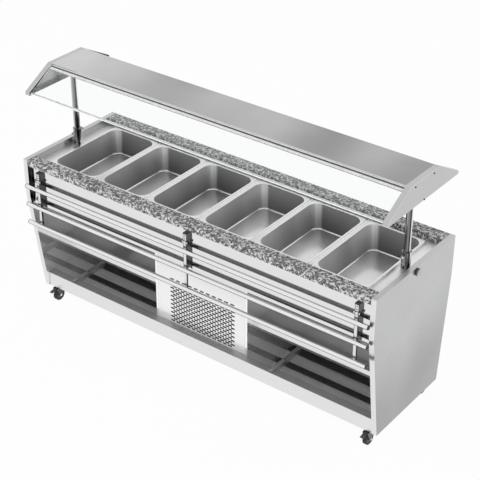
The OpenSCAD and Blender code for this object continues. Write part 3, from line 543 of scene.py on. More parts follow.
def stone(name):
    """Polished stone of three chips, with a faint relief."""
    material, wires, shader = new_material(name)
    tone = colours()
    chips = wires.shared("Stone Chips", {
        "Chips": 1.0 / sizes().stone_chip, "Dark": darker(tone.stone_dark, 1),
        "Middle": darker(tone.stone_middle, 1), "Pale": darker(tone.stone_pale, 1)})
    wires.feed(shader["Base Color"], chips["Color"])
    wires.feed(shader["Roughness"], wires.spread(chips["Relief"], 0.3, 0.7, 0.12, 0.22))
    wires.feed(shader["Normal"], wires.bump(chips["Relief"], 0.03, 0.0002))
    return material


def clear_glass(name):
    """Clear glass with faint wiping marks."""
    material, wires, shader = new_material(name)
    marks = wires.shared("Hand Marks", {"Scale": 9.0})["Marks"]
    shader["Base Color"].default_value = (0.96, 0.985, 0.98, 1)
    shader["Transmission Weight"].default_value = 1.0
    shader["IOR"].default_value = 1.45
    wires.feed(shader["Roughness"], wires.spread(marks, 0.0, 1.0, 0.0, 0.03))
    return material


# Tones by direction stand in for the bright and dark parts of a studio that the metal would mirror
RAIL_BANDS = ((0, -0.743, 0.669), ((0.0, 0.3), (0.79, 0.3), (0.83, 1.0), (1.0, 1.0)))
POST_BANDS = ((0.8, 0.6, 0), ((0.0, 0.4), (0.08, 0.4), (0.12, 0.55), (0.2, 0.55), (0.27, 0.28),
                              (0.55, 0.22), (0.62, 0.06), (0.77, 0.06), (0.82, 1.0), (1.0, 1.0)))
PAN_BANDS = ((0.894, 0, 0.447), ((0.0, 0.34), (0.56, 0.34), (0.68, 0.95), (0.75, 0.95), (0.83, 1.1),
                                 (0.9, 0.8), (1.0, 0.75)))
KNOB_BANDS = ((0, -0.6, 0.8), ((0.0, 1.0), (0.45, 0.85), (0.7, 0.6), (0.85, 0.3), (1.0, 0.2)))

# How streaks are drawn out: along the counter, upright, or the same every way
ALONG, UPRIGHT, EVEN = (3, 160, 160), (160, 160, 3), (60, 60, 60)


def pan_steel(name):
    """Painted shade: the pans' walls fall in tone from the rim to the foot, with painted reflection by
    direction and in broad patches.
    """
    foot, rim = (corner.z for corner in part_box("pan_1"))
    return steel(name, colours().pan, 0.42, EVEN, 0.0, 0.98, sweep=("Z", rim - 0.01, foot, 0.42),
                 bands=PAN_BANDS, gleam=((0.5, 6, 0.5), 0.75), metal=0.5, dusty=0.03)


LOOKS = {
    "Polished Fascia": lambda name: steel(name, colours().polished, 0.05, ALONG, 0.004, 0.98),
    # Painted shade: the bay floor darkens towards the front
    "Polished Base": lambda name: steel(name, colours().bay, 0.012, ALONG, 0.0, 0.98,
                                        sweep=("Y", -0.12, -0.21, 0.85), metal=0.97, dusty=0.01),
    "Base Front": lambda name: steel(name, (0.4, 0.4, 0.403), 0.3, ALONG, 0.0, 0.98, metal=0.6),
    "Polished Bay": lambda name: steel(name, colours().bay, 0.02, ALONG, 0.0, 0.98, metal=0.75, dusty=0.02),
    "Shelf Underside": lambda name: steel(name, (0.9, 0.9, 0.9), 0.5, ALONG, 0.01, 0.97, metal=0.1),
    # Own finish on ribs, bars and rails; a painted highlight where it picks out edges, rims and fronts of
    # darker sheets
    "Bright Sheet": lambda name: steel(name, colours().polished, 0.2, ALONG, 0.01, 0.97),
    "Bright Upright": lambda name: steel(name, colours().polished, 0.2, UPRIGHT, 0.01, 0.97),
    "Deck Sheet": lambda name: steel(name, (0.8, 0.8, 0.803), 0.32, ALONG, 0.01, 0.97),
    # Painted shade: end panels, rear panel and hoods darken towards the floor
    "Panel Steel": lambda name: steel(name, colours().panel, 0.24, UPRIGHT, 0.0, 0.99,
                                      sweep=("Z", 0.8, 0.1, 0.68)),
    # Painted reflection: the black strip inside the end panels before the fascia
    "Dark Reflection Strip": lambda name: steel(name, (0.015, 0.015, 0.015), 0.1, UPRIGHT, 0.0, 0.98, dusty=0.0),
    "Shelf Steel": lambda name: steel(name, colours().bay, 0.25, ALONG, 0.01, 0.97, metal=0.35),
    "Shelf Top": lambda name: steel(name, (0.5, 0.5, 0.503), 0.08, ALONG, 0.0, 0.98, metal=0.8, dusty=0.02),
    # Painted shade: the black of the bars under the shelves
    "Black Bar": lambda name: moulded(name, (0.003, 0.003, 0.003), 0.7, 0.05),
    # Painted sheen: pale to the left, darker to the right, with painted reflection patches
    "Canopy Steel": lambda name: steel(name, colours().canopy, 0.24, ALONG, 0.0, 0.98,
                                       sweep=("X", -1.0, 0.7, 0.66), gleam=((2.4, 0.6, 0.6), 0.68)),
    "Cheek Steel": lambda name: steel(name, colours().panel, 0.24, ALONG, 0.0, 0.99),
    "Pan Steel": pan_steel,
    # Painted shade: the pan floor is brighter at the front and darker towards the back
    "Pan Floor": lambda name: steel(name, colours().pan, 0.14, EVEN, 0.0, 0.98,
                                    sweep=("Y", -0.22, 0.3, 0.5), metal=0.7, dusty=0.02),
    "Grille Plate": lambda name: steel(name, (0.86, 0.86, 0.865), 0.2, ALONG, 0.0, 0.98, metal=0.4),
    # Painted reflection: pale on top, dark below, as the tube would mirror the room
    "Rail Tube": lambda name: steel(name, (0.82, 0.82, 0.825), 0.06, (4, 90, 90), 0.004, 0.97,
                                    bands=RAIL_BANDS),
    # Painted reflection: a bright stripe down one side and a dark core
    "Post Tube": lambda name: steel(name, (0.88, 0.88, 0.885), 0.08, (90, 90, 4), 0.004, 0.97,
                                    bands=POST_BANDS),
    # Painted shade: bright where the knob faces up and forward, dark away from it
    "Knob Metal": lambda name: steel(name, (0.62, 0.62, 0.62), 0.2, EVEN, 0.01, 0.97, bands=KNOB_BANDS),
    "Chrome": lambda name: steel(name, (0.82, 0.825, 0.83), 0.08, EVEN, 0.01, 0.97),
    # Painted reflection: the dark sides of the tray arms
    "Dark Side Reflection": lambda name: steel(name, (0.07, 0.07, 0.073), 0.2, UPRIGHT, 0.01, 0.9),
    "Zinc Plate": lambda name: steel(name, (0.42, 0.43, 0.45), 0.32, (90, 90, 90), 0.06, 0.8),
    "Coated Fins": lambda name: moulded(name, (0.02, 0.02, 0.021), 0.5),
    # Black foam behind the grille; on the grille's slot walls it is painted shade
    "Foam And Slot Shade": lambda name: moulded(name, (0.006, 0.006, 0.006), 0.9, 0.6, 300.0),
    # Painted highlight: the opaque pale band at the glass's foot
    "Glass Edge": lambda name: moulded(name, (0.97, 0.98, 0.975), 0.3, 0.02),
    "Copper Pipe": lambda name: steel(name, (0.62, 0.29, 0.17), 0.25, EVEN, 0.03, 0.8),
    "Brass": lambda name: steel(name, (0.62, 0.46, 0.2), 0.25, EVEN, 0.03, 0.85),
    "Speckled Stone": stone,
    "Clear Glass": clear_glass,
    "White Gasket": lambda name: moulded(name, (0.78, 0.78, 0.77), 0.45),
    "Lamp Housing": lambda name: moulded(name, (0.8, 0.8, 0.78), 0.3, coat=0.2),
    "Lamp Diffuser": lambda name: moulded(name, (0.86, 0.86, 0.85), 0.35, 0.05),
    "Black Plastic": lambda name: moulded(name, (0.012, 0.012, 0.013), 0.35),
    "Tyre Rubber": lambda name: moulded(name, (0.014, 0.014, 0.014), 0.6, 0.3, 500.0),
    "Wheel Centre": lambda name: moulded(name, (0.05, 0.05, 0.055), 0.4),
    "Black Enamel": lambda name: moulded(name, (0.01, 0.01, 0.012), 0.2, coat=0.4,
                                         wear=(0.12, 0.12, 0.12, 1)),
    "Dark Housing": lambda name: moulded(name, (0.03, 0.03, 0.033), 0.5),
    "Signal Red": lambda name: moulded(name, colours().switch_red, 0.3, coat=0.2),
    "White Print": lambda name: moulded(name, (0.8, 0.8, 0.8), 0.5, 0.02),
}


def finish(name):
    """A finish by its name, made when it is first asked for."""
    return bpy.data.materials.get(name) or LOOKS[name](name)


# Pieces

class SALAD_OT_cabinet(Operator):
    """Models the end panels, the base with its rails, the crossmembers and the floor ribs"""
    bl_idname = "salad.cabinet"
    bl_label = "Cabinet"

    def end_panel(self, node):
        """Brushed outside with painted shade towards the floor, polished in the bays, and with painted dark
        reflection on the inner face above the deck and before the fascia.
        """
        deck_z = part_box("well_deck")[1].z
        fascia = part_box("front_fascia")[0]
        panel = softened(node, sizes().sheet_edge)
        split(panel, (0, 0, deck_z), (0, 0, 1))
        split(panel, fascia, (0, 0, 1))
        split(panel, fascia, (0, 1, 0))
        dress(panel, "Panel Steel", node)

        def inside(middle, normal):
            return normal.x * middle.x < -0.5

        paint_faces(panel, "Bright Upright", lambda middle, normal: normal.y < -0.5)
        paint_faces(panel, "Polished Bay", inside)
        # The inner face above the deck takes a darker finish: painted dark reflection
        paint_faces(panel, "Shelf Top", lambda middle, normal: inside(middle, normal) and middle.z > deck_z)
        # The strip before the fascia is black: painted reflection of the black bracket beside it
        paint_faces(panel, "Dark Reflection Strip", lambda middle, normal: inside(middle, normal)
                    and fascia.z < middle.z < deck_z and middle.y < fascia.y)

    def base(self):
        """A mirror in the bays, painted darker towards their front as shade, with bright rails and a duller
        strip in front of the grille.
        """
        grille_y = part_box("front_grille")[0].y
        base = softened("base_pan", sizes().sheet_edge)
        split(base, (0, grille_y, 0), (0, 1, 0))
        dress(base, "Polished Base", "base_pan")
        paint_faces(base, "Bright Sheet", lambda middle, normal: abs(normal.y) > 0.5)
        paint_faces(base, "Base Front", lambda middle, normal: normal.z > 0.9 and middle.y < grille_y)

    def execute(self, context):
        self.end_panel("left_end_panel")
        self.end_panel("right_end_panel")
        self.base()
        for node, look in (("base_crossmembers", "Zinc Plate"), ("bay_ribs", "Bright Sheet"),
                           ("compartment_walls", "Polished Bay"), ("well_deck", "Deck Sheet"),
                           ("divider_bars", "Bright Sheet")):
            dress(softened(node, sizes().sheet_edge), look, node)
        dress(softened("cold_well", 0.002), "Shelf Steel", "cold_well")
        low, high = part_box("bay_ribs")
        half_rib = 0.011
        # The rivet heads are black: painted shade, standing in for the dark hole at each rib's middle
        rivets = [(Vector((x, (low.y + high.y) / 2, high.z)), (0, 0, 1))
                  for x in (low.x + half_rib, high.x - half_rib)]
        dress(row_of("rib_rivets", screw_head(0.008), rivets), "Black Plastic")
        return {"FINISHED"}


class SALAD_OT_fascia(Operator):
    """Models the front fascia and the slotted grille with its screws and foam filter, and painted shade on
    the slots' walls
    """
    bl_idname = "salad.fascia"
    bl_label = "Fascia and Grille"

    def execute(self, context):
        dress(softened("front_fascia", sizes().sheet_edge), "Polished Fascia", "front_fascia")
        low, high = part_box("front_grille")
        margin, foot_margin, screw_in = 0.02, 0.003, 0.018

        def in_slot(middle, normal):
            return (abs(normal.y) < 0.9 and low.x + margin < middle.x < high.x - margin
                    and low.z + foot_margin < middle.z < high.z - margin)

        grille = softened("front_grille", 0)
        with editing(grille):
            for outward in (Vector((1, 0, 0)), Vector((-1, 0, 0)), Vector((0, 0, 1)), Vector((0, 0, -1))):
                pick_faces(grille, lambda middle, normal: in_slot(middle, normal)
                           and normal.dot(outward) < -0.7)
                bpy.ops.transform.translate(value=outward * sizes().slot_relief)
        round_edges(grille, 0.0009, 1)
        dress(grille, "Grille Plate", "front_grille")
        # The slots' walls are painted black: painted shade in the openings
        paint_faces(grille, "Foam And Slot Shade", in_slot)

        foam_y, foam_depth, foam_in, frame_width = high.y + 0.001, 0.006, 0.016, 0.008
        foam = add_block("intake_filter", (low.x + foam_in, foam_y, low.z),
                         (high.x - foam_in, foam_y + foam_depth, high.z - 0.01), 0.001)
        with editing(foam):
            pick_faces(foam, lambda middle, normal: normal.y < -0.9)
            bpy.ops.mesh.inset(thickness=frame_width)
            extrude(y=0.001)
        dress(foam, "Foam And Slot Shade")
        screws = [(Vector((x, low.y, z)), (0, -1, 0))
                  for x in (low.x + screw_in, (low.x + high.x) / 2, high.x - screw_in)
                  for z in (low.z + screw_in, high.z - screw_in)]
        dress(row_of("grille_screws", screw_head(sizes().screw_head), screws), "Chrome")
        return {"FINISHED"}


class SALAD_OT_shelves(Operator):
    """Models the mid shelves and the black bars under them, painted shade for the dark bands that the bay
    floors mirror
    """
    bl_idname = "salad.shelves"
    bl_label = "Mid Shelves"

    def execute(self, context):
        sheet, bar_height, end_gap = 0.002, 0.012, 0.002
        bar_fronts_and_backs = ((26, 63), (151, 201))
        for node in ("mid_shelf_left", "mid_shelf_right"):
            shelf = dress(softened(node, sizes().sheet_edge), "Shelf Top", node)
            paint_faces(shelf, "Shelf Underside", lambda middle, normal: normal.z < -0.5)
            # The front is painted brighter: painted highlight along the shelf's edge
            paint_faces(shelf, "Bright Sheet", lambda middle, normal: normal.y < -0.5)
            low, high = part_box(node)
            under = high.z - sheet
            # Black bars under the shelf: painted shade, the dark bands that the bay floor mirrors
            bars = [add_block(node + "_shade_bar",
                              (low.x + end_gap, at(0, front, 0).y, under - bar_height),
                              (high.x - end_gap, at(0, back, 0).y, under), 0.002)
                    for front, back in bar_fronts_and_backs]
            dress(joined(node + "_shade_bars", bars), "Black Bar")
        return {"FINISHED"}


class SALAD_OT_rear(Operator):
    """Models the rear panel with pressed hoods over its air slots and its screws"""
    bl_idname = "salad.rear"
    bl_label = "Rear Panel"

    def execute(self, context):
        panel = dress(softened("rear_panel", 0.0005, 1), "Panel Steel", "rear_panel")
        paint_faces(panel, "Polished Bay", lambda middle, normal: normal.y < -0.5)
        low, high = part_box("rear_panel")
        half_width, depth, foot, top = 0.077, 0.007, -0.003, 0.013
        brow, sheet, hollow = 0.006, 0.0012, 0.009
        hood = add_block("hood", (-half_width, 0, foot), (half_width, depth, top))
        with editing(hood):
            pick_edges(hood, lambda a, b: min(a.y, b.y) > 0.9 * depth and min(a.z, b.z) > 0.9 * top)
            bpy.ops.mesh.bevel(offset=brow, segments=4, affect="EDGES")
            pick_faces(hood, lambda middle, normal: normal.z < -0.9)
            bpy.ops.mesh.inset(thickness=sheet)
            extrude(z=hollow)
        slots_x, half_pitch, row_pitch, rows = 0.03, 0.085, 0.02, 8
        first_row = low.z + 0.06
        hoods = [copied(hood, "hood", Matrix.Translation(
                     (slots_x + side * half_pitch, high.y, first_row + row_pitch * row)))
                 for row in range(rows) for side in (-1, 1)]
        bpy.data.objects.remove(hood)
        dress(joined("rear_hoods", hoods), "Panel Steel")
        screw_in, gaps = 0.02, 6
        reach = high.x - low.x - 2 * screw_in
        screws = [(Vector((low.x + screw_in + reach * step / gaps, high.y, z)), (0, 1, 0))
                  for step in range(gaps + 1) for z in (low.z + screw_in, high.z - screw_in)]
        dress(row_of("rear_screws", screw_head(sizes().screw_head), screws), "Chrome")
        return {"FINISHED"}


class SALAD_OT_stone(Operator):
    """Models the two polished stone strips"""
    bl_idname = "salad.stone"
    bl_label = "Stone Strips"

    def execute(self, context):
        for node in ("front_granite", "rear_granite"):
            dress(softened(node, sizes().stone_edge, 4), "Speckled Stone", node)
        return {"FINISHED"}


class SALAD_OT_pans(Operator):
    """Models one pressed food pan and copies it to the six places"""
    bl_idname = "salad.pans"
    bl_label = "Food Pans"

    def outline(self, name, centre, width, length, corner):
        """The edge of a plane with rounded corners."""
        bpy.ops.object.select_all(action="DESELECT")
        bpy.ops.mesh.primitive_plane_add(size=1, location=centre)
        piece = bpy.context.active_object
        piece.name = name
        piece.scale = (width, length, 1)
        settle(piece)
        with editing(piece, "VERT", everything=True):
            bpy.ops.mesh.bevel(offset=corner, segments=8, affect="VERTICES")
            bpy.ops.mesh.select_all(action="SELECT")
            bpy.ops.mesh.delete(type="ONLY_FACE")
        return piece

    def execute(self, context):
        size = sizes()
        low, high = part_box("pan_1")
        width, length = high.x - low.x, high.y - low.y
        rim_corner, rim_fold, rim_bend = 0.016, 0.0125, 0.003
        floor_sheet, wall_sheet = 0.001, 0.0009
        depth = high.z - low.z - floor_sheet
        flange, round_r = size.pan_flange, size.pan_round
        centre = Vector(((low.x + high.x) / 2, (low.y + high.y) / 2, high.z))
        mouth_w, mouth_l = width - 2 * flange, length - 2 * flange
        foot_w, foot_l = mouth_w - 2 * size.pan_taper, mouth_l - 2 * size.pan_taper
        rim = self.outline("rim", centre, width, length, rim_corner)
        mouth = self.outline("mouth", centre, mouth_w, mouth_l, size.pan_corner)
        pan = joined("pan", [rim, mouth])

        def outer(point):
            return (abs(point.x - centre.x) > width / 2 - 0.7 * flange
                    or abs(point.y - centre.y) > length / 2 - 0.7 * flange)

        def shrink(by, from_w, from_l):
            bpy.ops.transform.resize(value=(1 - 2 * by / from_w, 1 - 2 * by / from_l, 1),
                                     center_override=centre)

        floor, bend, near = centre.z - depth, 0.7 * round_r, 0.0001
        with editing(pan, "EDGE", everything=True):
            bpy.ops.mesh.bridge_edge_loops()
            pick_edges(pan, lambda a, b: outer(a) and outer(b), open_only=True)
            extrude(z=-rim_fold)
            pick_edges(pan, lambda a, b: not outer(a) and not outer(b), open_only=True)
            extrude(z=-(depth - round_r))
            shrink(size.pan_taper, mouth_w, mouth_l)
            extrude(z=-round_r)
            shrink(round_r, foot_w, foot_l)
            bpy.ops.mesh.edge_face_add()
            for height, offset in ((floor + round_r, bend), (floor, bend), (centre.z, rim_bend)):
                pick_edges(pan, lambda a, b: abs(a.z - height) < near and abs(b.z - height) < near
                           and (height < centre.z - near or outer(a) == outer(b)))
                bpy.ops.mesh.bevel(offset=offset, segments=3, affect="EDGES")
            bpy.ops.mesh.select_all(action="SELECT")
            bpy.ops.mesh.normals_make_consistent(inside=False)
        bottom = min(pan.data.polygons, key=lambda face: face.center.z)
        if bottom.normal.z < 0:
            pan.data.flip_normals()
        wall = pan.modifiers.new("wall", "SOLIDIFY")
        wall.thickness = wall_sheet
        wall.offset = -1
        select_only(pan)
        bpy.ops.object.modifier_apply(modifier=wall.name)
        for number in range(1, 7):
            node = f"pan_{number}"
            there = (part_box(node)[0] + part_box(node)[1] - low - high) / 2
            pressed = dress(copied(pan, node + "_pressed", Matrix.Translation(there)), "Pan Steel", node)
            # The rim and the round at the foot take the brighter sheet: painted highlight, the crisp line
            # round the floor
            paint_faces(pressed, "Bright Sheet", lambda middle, normal: middle.z > centre.z - 0.0014
                        or outer(middle - there) or middle.z < floor + round_r and 0.2 < normal.z < 0.9)
            paint_faces(pressed, "Pan Floor", lambda middle, normal: middle.z < floor + round_r
                        and normal.z > 0.9)
        bpy.data.objects.remove(pan)
        return {"FINISHED"}


class SALAD_OT_canopy(Operator):
    """Models the canopy's shelf, cheeks, glass, channel, lamp, posts and sleeves"""
    bl_idname = "salad.canopy"
    bl_label = "Canopy"

    def sheets(self):
        edge = sizes().sheet_edge
        for node, look in (("canopy_shelf", "Canopy Steel"), ("canopy_cheek_left", "Cheek Steel"),
                           ("canopy_cheek_right", "Cheek Steel"), ("post_left", "Post Tube"),
                           ("post_right", "Post Tube"), ("post_sleeves", "Post Tube"),
                           ("glass_channel", "White Gasket")):
            piece = dress(softened(node, 2.5 * edge if "cheek" in node else edge), look, node)
            # The cheeks' rounded folds are painted brighter: painted highlight along the edges
            if "cheek" in node:
                paint_faces(piece, "Bright Sheet", lambda middle, normal: 0.15 < abs(normal.x) < 0.9)
            # All but the shelf's top is painted brighter: painted highlight on its edges and walls
            if node == "canopy_shelf":
                paint_faces(piece, "Bright Sheet", lambda middle, normal: normal.z < 0.95)

    def glass(self):
        """The pane with its pale lower edge, a painted highlight of the polished edge, and the black seal
        along its upper edge.
        """
        pane = softened("front_glass", 0.0008)
        lip_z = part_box("front_glass")[0].z + sizes().glass_lip
        split(pane, (0, 0, lip_z), (0, 0, 1))
        dress(pane, "Clear Glass", "front_glass")
        # The lower band is opaque and pale: painted highlight of the polished edge
        paint_faces(pane, "Glass Edge", lambda middle, normal: middle.z < lip_z)
        slope, half = radians(29.643), 1.084
        shelf_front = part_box("canopy_shelf")[0].y
        shelf_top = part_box("canopy_shelf")[1].z
        seal = add_block("canopy_seal", (-half, -0.017, -0.0052), (half, -0.009, -0.0042), 0.0003, 1)
        seal.data.transform(Matrix.Translation((0, shelf_front, shelf_top)) @ Matrix.Rotation(slope, 4, "X"))
        dress(seal, "Black Plastic")

    def lamp(self):
        dress(softened("light_bar", 0.006, 4), "Lamp Housing", "light_bar")
        low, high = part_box("light_bar")
        middle = (low.y + high.y) / 2
        end_gap, half_width, drop, sunk = 0.02, 0.022, 0.006, 0.004
        diffuser = add_block("lamp_diffuser", (low.x + end_gap, middle - half_width, low.z - drop),
                             (high.x - end_gap, middle + half_width, low.z + sunk))
        with editing(diffuser, "EDGE"):
            pick_edges(diffuser, lambda a, b: max(a.z, b.z) < low.z)
            bpy.ops.mesh.bevel(offset=0.005, segments=4, affect="EDGES")
        dress(diffuser, "Lamp Diffuser")

    def execute(self, context):
        self.sheets()
        self.glass()
        self.lamp()
        cheek_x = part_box("canopy_cheek_right")[1].x
        screws = [(at(side * cheek_x * 1000, y, z), (side, 0, 0))
                  for side in (-1, 1) for y, z in ((-82, 1403), (82, 1403), (7, 1301))]
        dress(row_of("cheek_screws", screw_head(sizes().screw_head), screws), "Black Enamel")
        low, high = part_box("post_sleeves")
        nut_z, grip_y, grip_z = 0.985, at(0, -24, 0).y, 0.922
        nuts = [(Vector((side * POST_X, y, nut_z)), (0, out, 0))
                for side in (-1, 1) for y, out in ((low.y, -1), (high.y, 1))]
        dress(row_of("sleeve_nuts", hex_head(0.013, 0.006), nuts), "Chrome")
        grips = [turned("grip", [(4.4, 0), (4.4, 3), (6.5, 3), (7.5, 4), (7.5, 9), (6.5, 10), (2, 10)],
                        (side * POST_X, grip_y, grip_z), (0, -1, 0), 20) for side in (-1, 1)]
        dress(joined("set_screw_grips", grips), "Black Enamel")
        return {"FINISHED"}


class SALAD_OT_knobs(Operator):
    """Models the fluted clamp knobs outside the end panels"""
    bl_idname = "salad.knobs"
    bl_label = "Clamp Knobs"

    def execute(self, context):
        flutes = sizes().knob_flutes
        face_gap, flute_depth, fluted_from = 0.0005, 0.0014, 0.018
        for side, sign in (("left", -1), ("right", 1)):
            node = f"clamp_knob_{side}"
            low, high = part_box(node)
            face_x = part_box("right_end_panel")[1].x + face_gap
            centre = Vector((sign * face_x, (low.y + high.y) / 2, (low.z + high.z) / 2))
            knob = turned(node + "_fluted", [(6, 0), (14, 0), (18.5, 0.8), (20, 2.5), (20, 10.5),
                                             (18.5, 12.5), (13, 13.2), (12, 12.4), (3, 12.4)],
                          centre, (sign, 0, 0), 2 * flutes)

            def in_flute(middle, normal):
                turn = atan2(middle.z - centre.z, middle.y - centre.y) % (2 * pi)
                return (abs(normal.x) < 0.3 and (middle.yz - centre.yz).length > fluted_from
                        and int(turn / (pi / flutes)) % 2 == 0)

            with editing(knob):
                pick_faces(knob, in_flute)
                bpy.ops.mesh.inset(thickness=0.0004, use_individual=True)
                bpy.ops.transform.shrink_fatten(value=-flute_depth)
            screw = turned("stem", [(4, -44), (4, 3)], centre, (sign, 0, 0), 24)
            dress(joined(node + "_fluted", [knob, screw]), "Knob Metal", node)
        return {"FINISHED"}


class SALAD_OT_tray(Operator):
    """Models the tray slide: wall brackets with caps, arms, tubes and domed tube ends"""
    bl_idname = "salad.tray"
    bl_label = "Tray Slide"

    def brackets(self):
        # The brackets are made black: painted reflection, for the dark seen down their sides
        dress(softened("tray_brackets", 0.0006), "Black Enamel", "tray_brackets")
        low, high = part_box("tray_brackets")
        half, cap_height, proud = 0.0125, 0.006, 0.001
        cover_half, cover_depth, cover_foot = 0.0085, 0.002, 0.843
        end_x = high.x - 0.011
        caps, covers, screws = [], [], []
        for x in (-end_x, 0.0, end_x):
            caps.append(add_block("cap", (x - half, low.y - proud, high.z),
                                  (x + half, high.y, high.z + cap_height), 0.0018, 3))
            covers.append(add_block("cover", (x - cover_half, low.y, cover_foot),
                                    (x + cover_half, low.y + cover_depth, high.z), 0.0005, 1))
            screws += [(Vector((x, low.y, cover_foot + up)), (0, -1, 0)) for up in (0.010, 0.026)]
        dress(joined("bracket_caps", caps), "Black Plastic")
        dress(joined("bracket_covers", covers), "Bright Upright")
        dress(row_of("bracket_screws", screw_head(0.0065), screws), "Black Enamel")

    def execute(self, context):
        arms = dress(softened("tray_arms", 0.0008), "Bright Upright", "tray_arms")
        # The arms' sides are painted dark: painted reflection
        paint_faces(arms, "Dark Side Reflection", lambda middle, normal: abs(normal.x) > 0.5)
        dress(softened("tray_tubes", 0), "Rail Tube", "tray_tubes")
        self.brackets()
        low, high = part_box("tray_tubes")
        end_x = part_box("tray_end_caps")[1].x
        radius = 0.0125
        dome = [(9.5, -12), (9.8, -3), (12.5, -3), (12.5, -1.6), (11.6, -0.7), (8.5, -0.15), (4, 0)]
        ends = [turned("cap", dome, (sign * end_x, (low.y + high.y) / 2, z), (sign, 0, 0), 32)
                for z in (high.z - radius, (low.z + high.z) / 2, low.z + radius) for sign in (-1, 1)]
        dress(joined("domed_tube_ends", ends), "Black Plastic", "tray_end_caps")
        return {"FINISHED"}


class SALAD_OT_casters(Operator):
    """Models the swivel casters: plates with bolts, forks, wheels and brake pedals"""
    bl_idname = "salad.casters"
    bl_label = "Casters"

    TYRE = [(24, -11), (32.5, -12), (34.4, -10.6), (35, -8.5), (35, -2.6), (34.3, -2), (34.3, 2), (35, 2.6),
            (35, 8.5), (34.4, 10.6), (32.5, 12), (24, 11), (24, -11)]
    CENTRE = [(4.1, -12), (11.5, -12), (13, -11), (13, -9), (21, -8.6), (22.6, -10.4), (23.95, -10.8),
              (23.95, 10.8), (22.6, 10.4), (21, 8.6), (13, 9), (13, 11), (11.5, 12), (4.1, 12), (4.1, -12)]

    def caster(self, corner):
        fork, wheel, pedal = f"fork_{corner}", f"wheel_{corner}", f"pedal_{corner}"
        axle_half = 0.0165
        dress(softened(fork, 0.0007), "Black Enamel", fork)
        middle = (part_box(wheel)[0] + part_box(wheel)[1]) / 2
        dress(turned(wheel + "_tyre", self.TYRE, middle, (1, 0, 0), 64, True), "Tyre Rubber", wheel)
        core = turned(wheel + "_centre", self.CENTRE, middle, (1, 0, 0), 48, True)
        dress(core, "Wheel Centre", body=BODY_OF[wheel])
        nuts = [(middle + Vector((sign * axle_half, 0, 0)), (sign, 0, 0)) for sign in (-1, 1)]
        dress(row_of(f"axle_nuts_{corner}", hex_head(0.012, 0.004), nuts), "Chrome", body=BODY_OF[fork])
        dress(softened(pedal, 0.0007), "Black Plastic", pedal)

    def execute(self, context):
        dress(softened("caster_plates", 0.0005), "Zinc Plate", "caster_plates")
        bolt_x, bolt_y, plate = 0.021, 0.033, 0.003
        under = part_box("caster_plates")[1].z - plate
        bolts = []
        for corner in CORNERS:
            self.caster(corner)
            swivel = JOINT_AT[f"swivel_turn_{corner}"]
            bolts += [(Vector((swivel.x + dx, swivel.y + dy, under)), (0, 0, -1))
                      for dx in (-bolt_x, bolt_x) for dy in (-bolt_y, bolt_y)]
        dress(row_of("plate_bolts", hex_head(0.009, 0.005), bolts), "Zinc Plate")
        return {"FINISHED"}


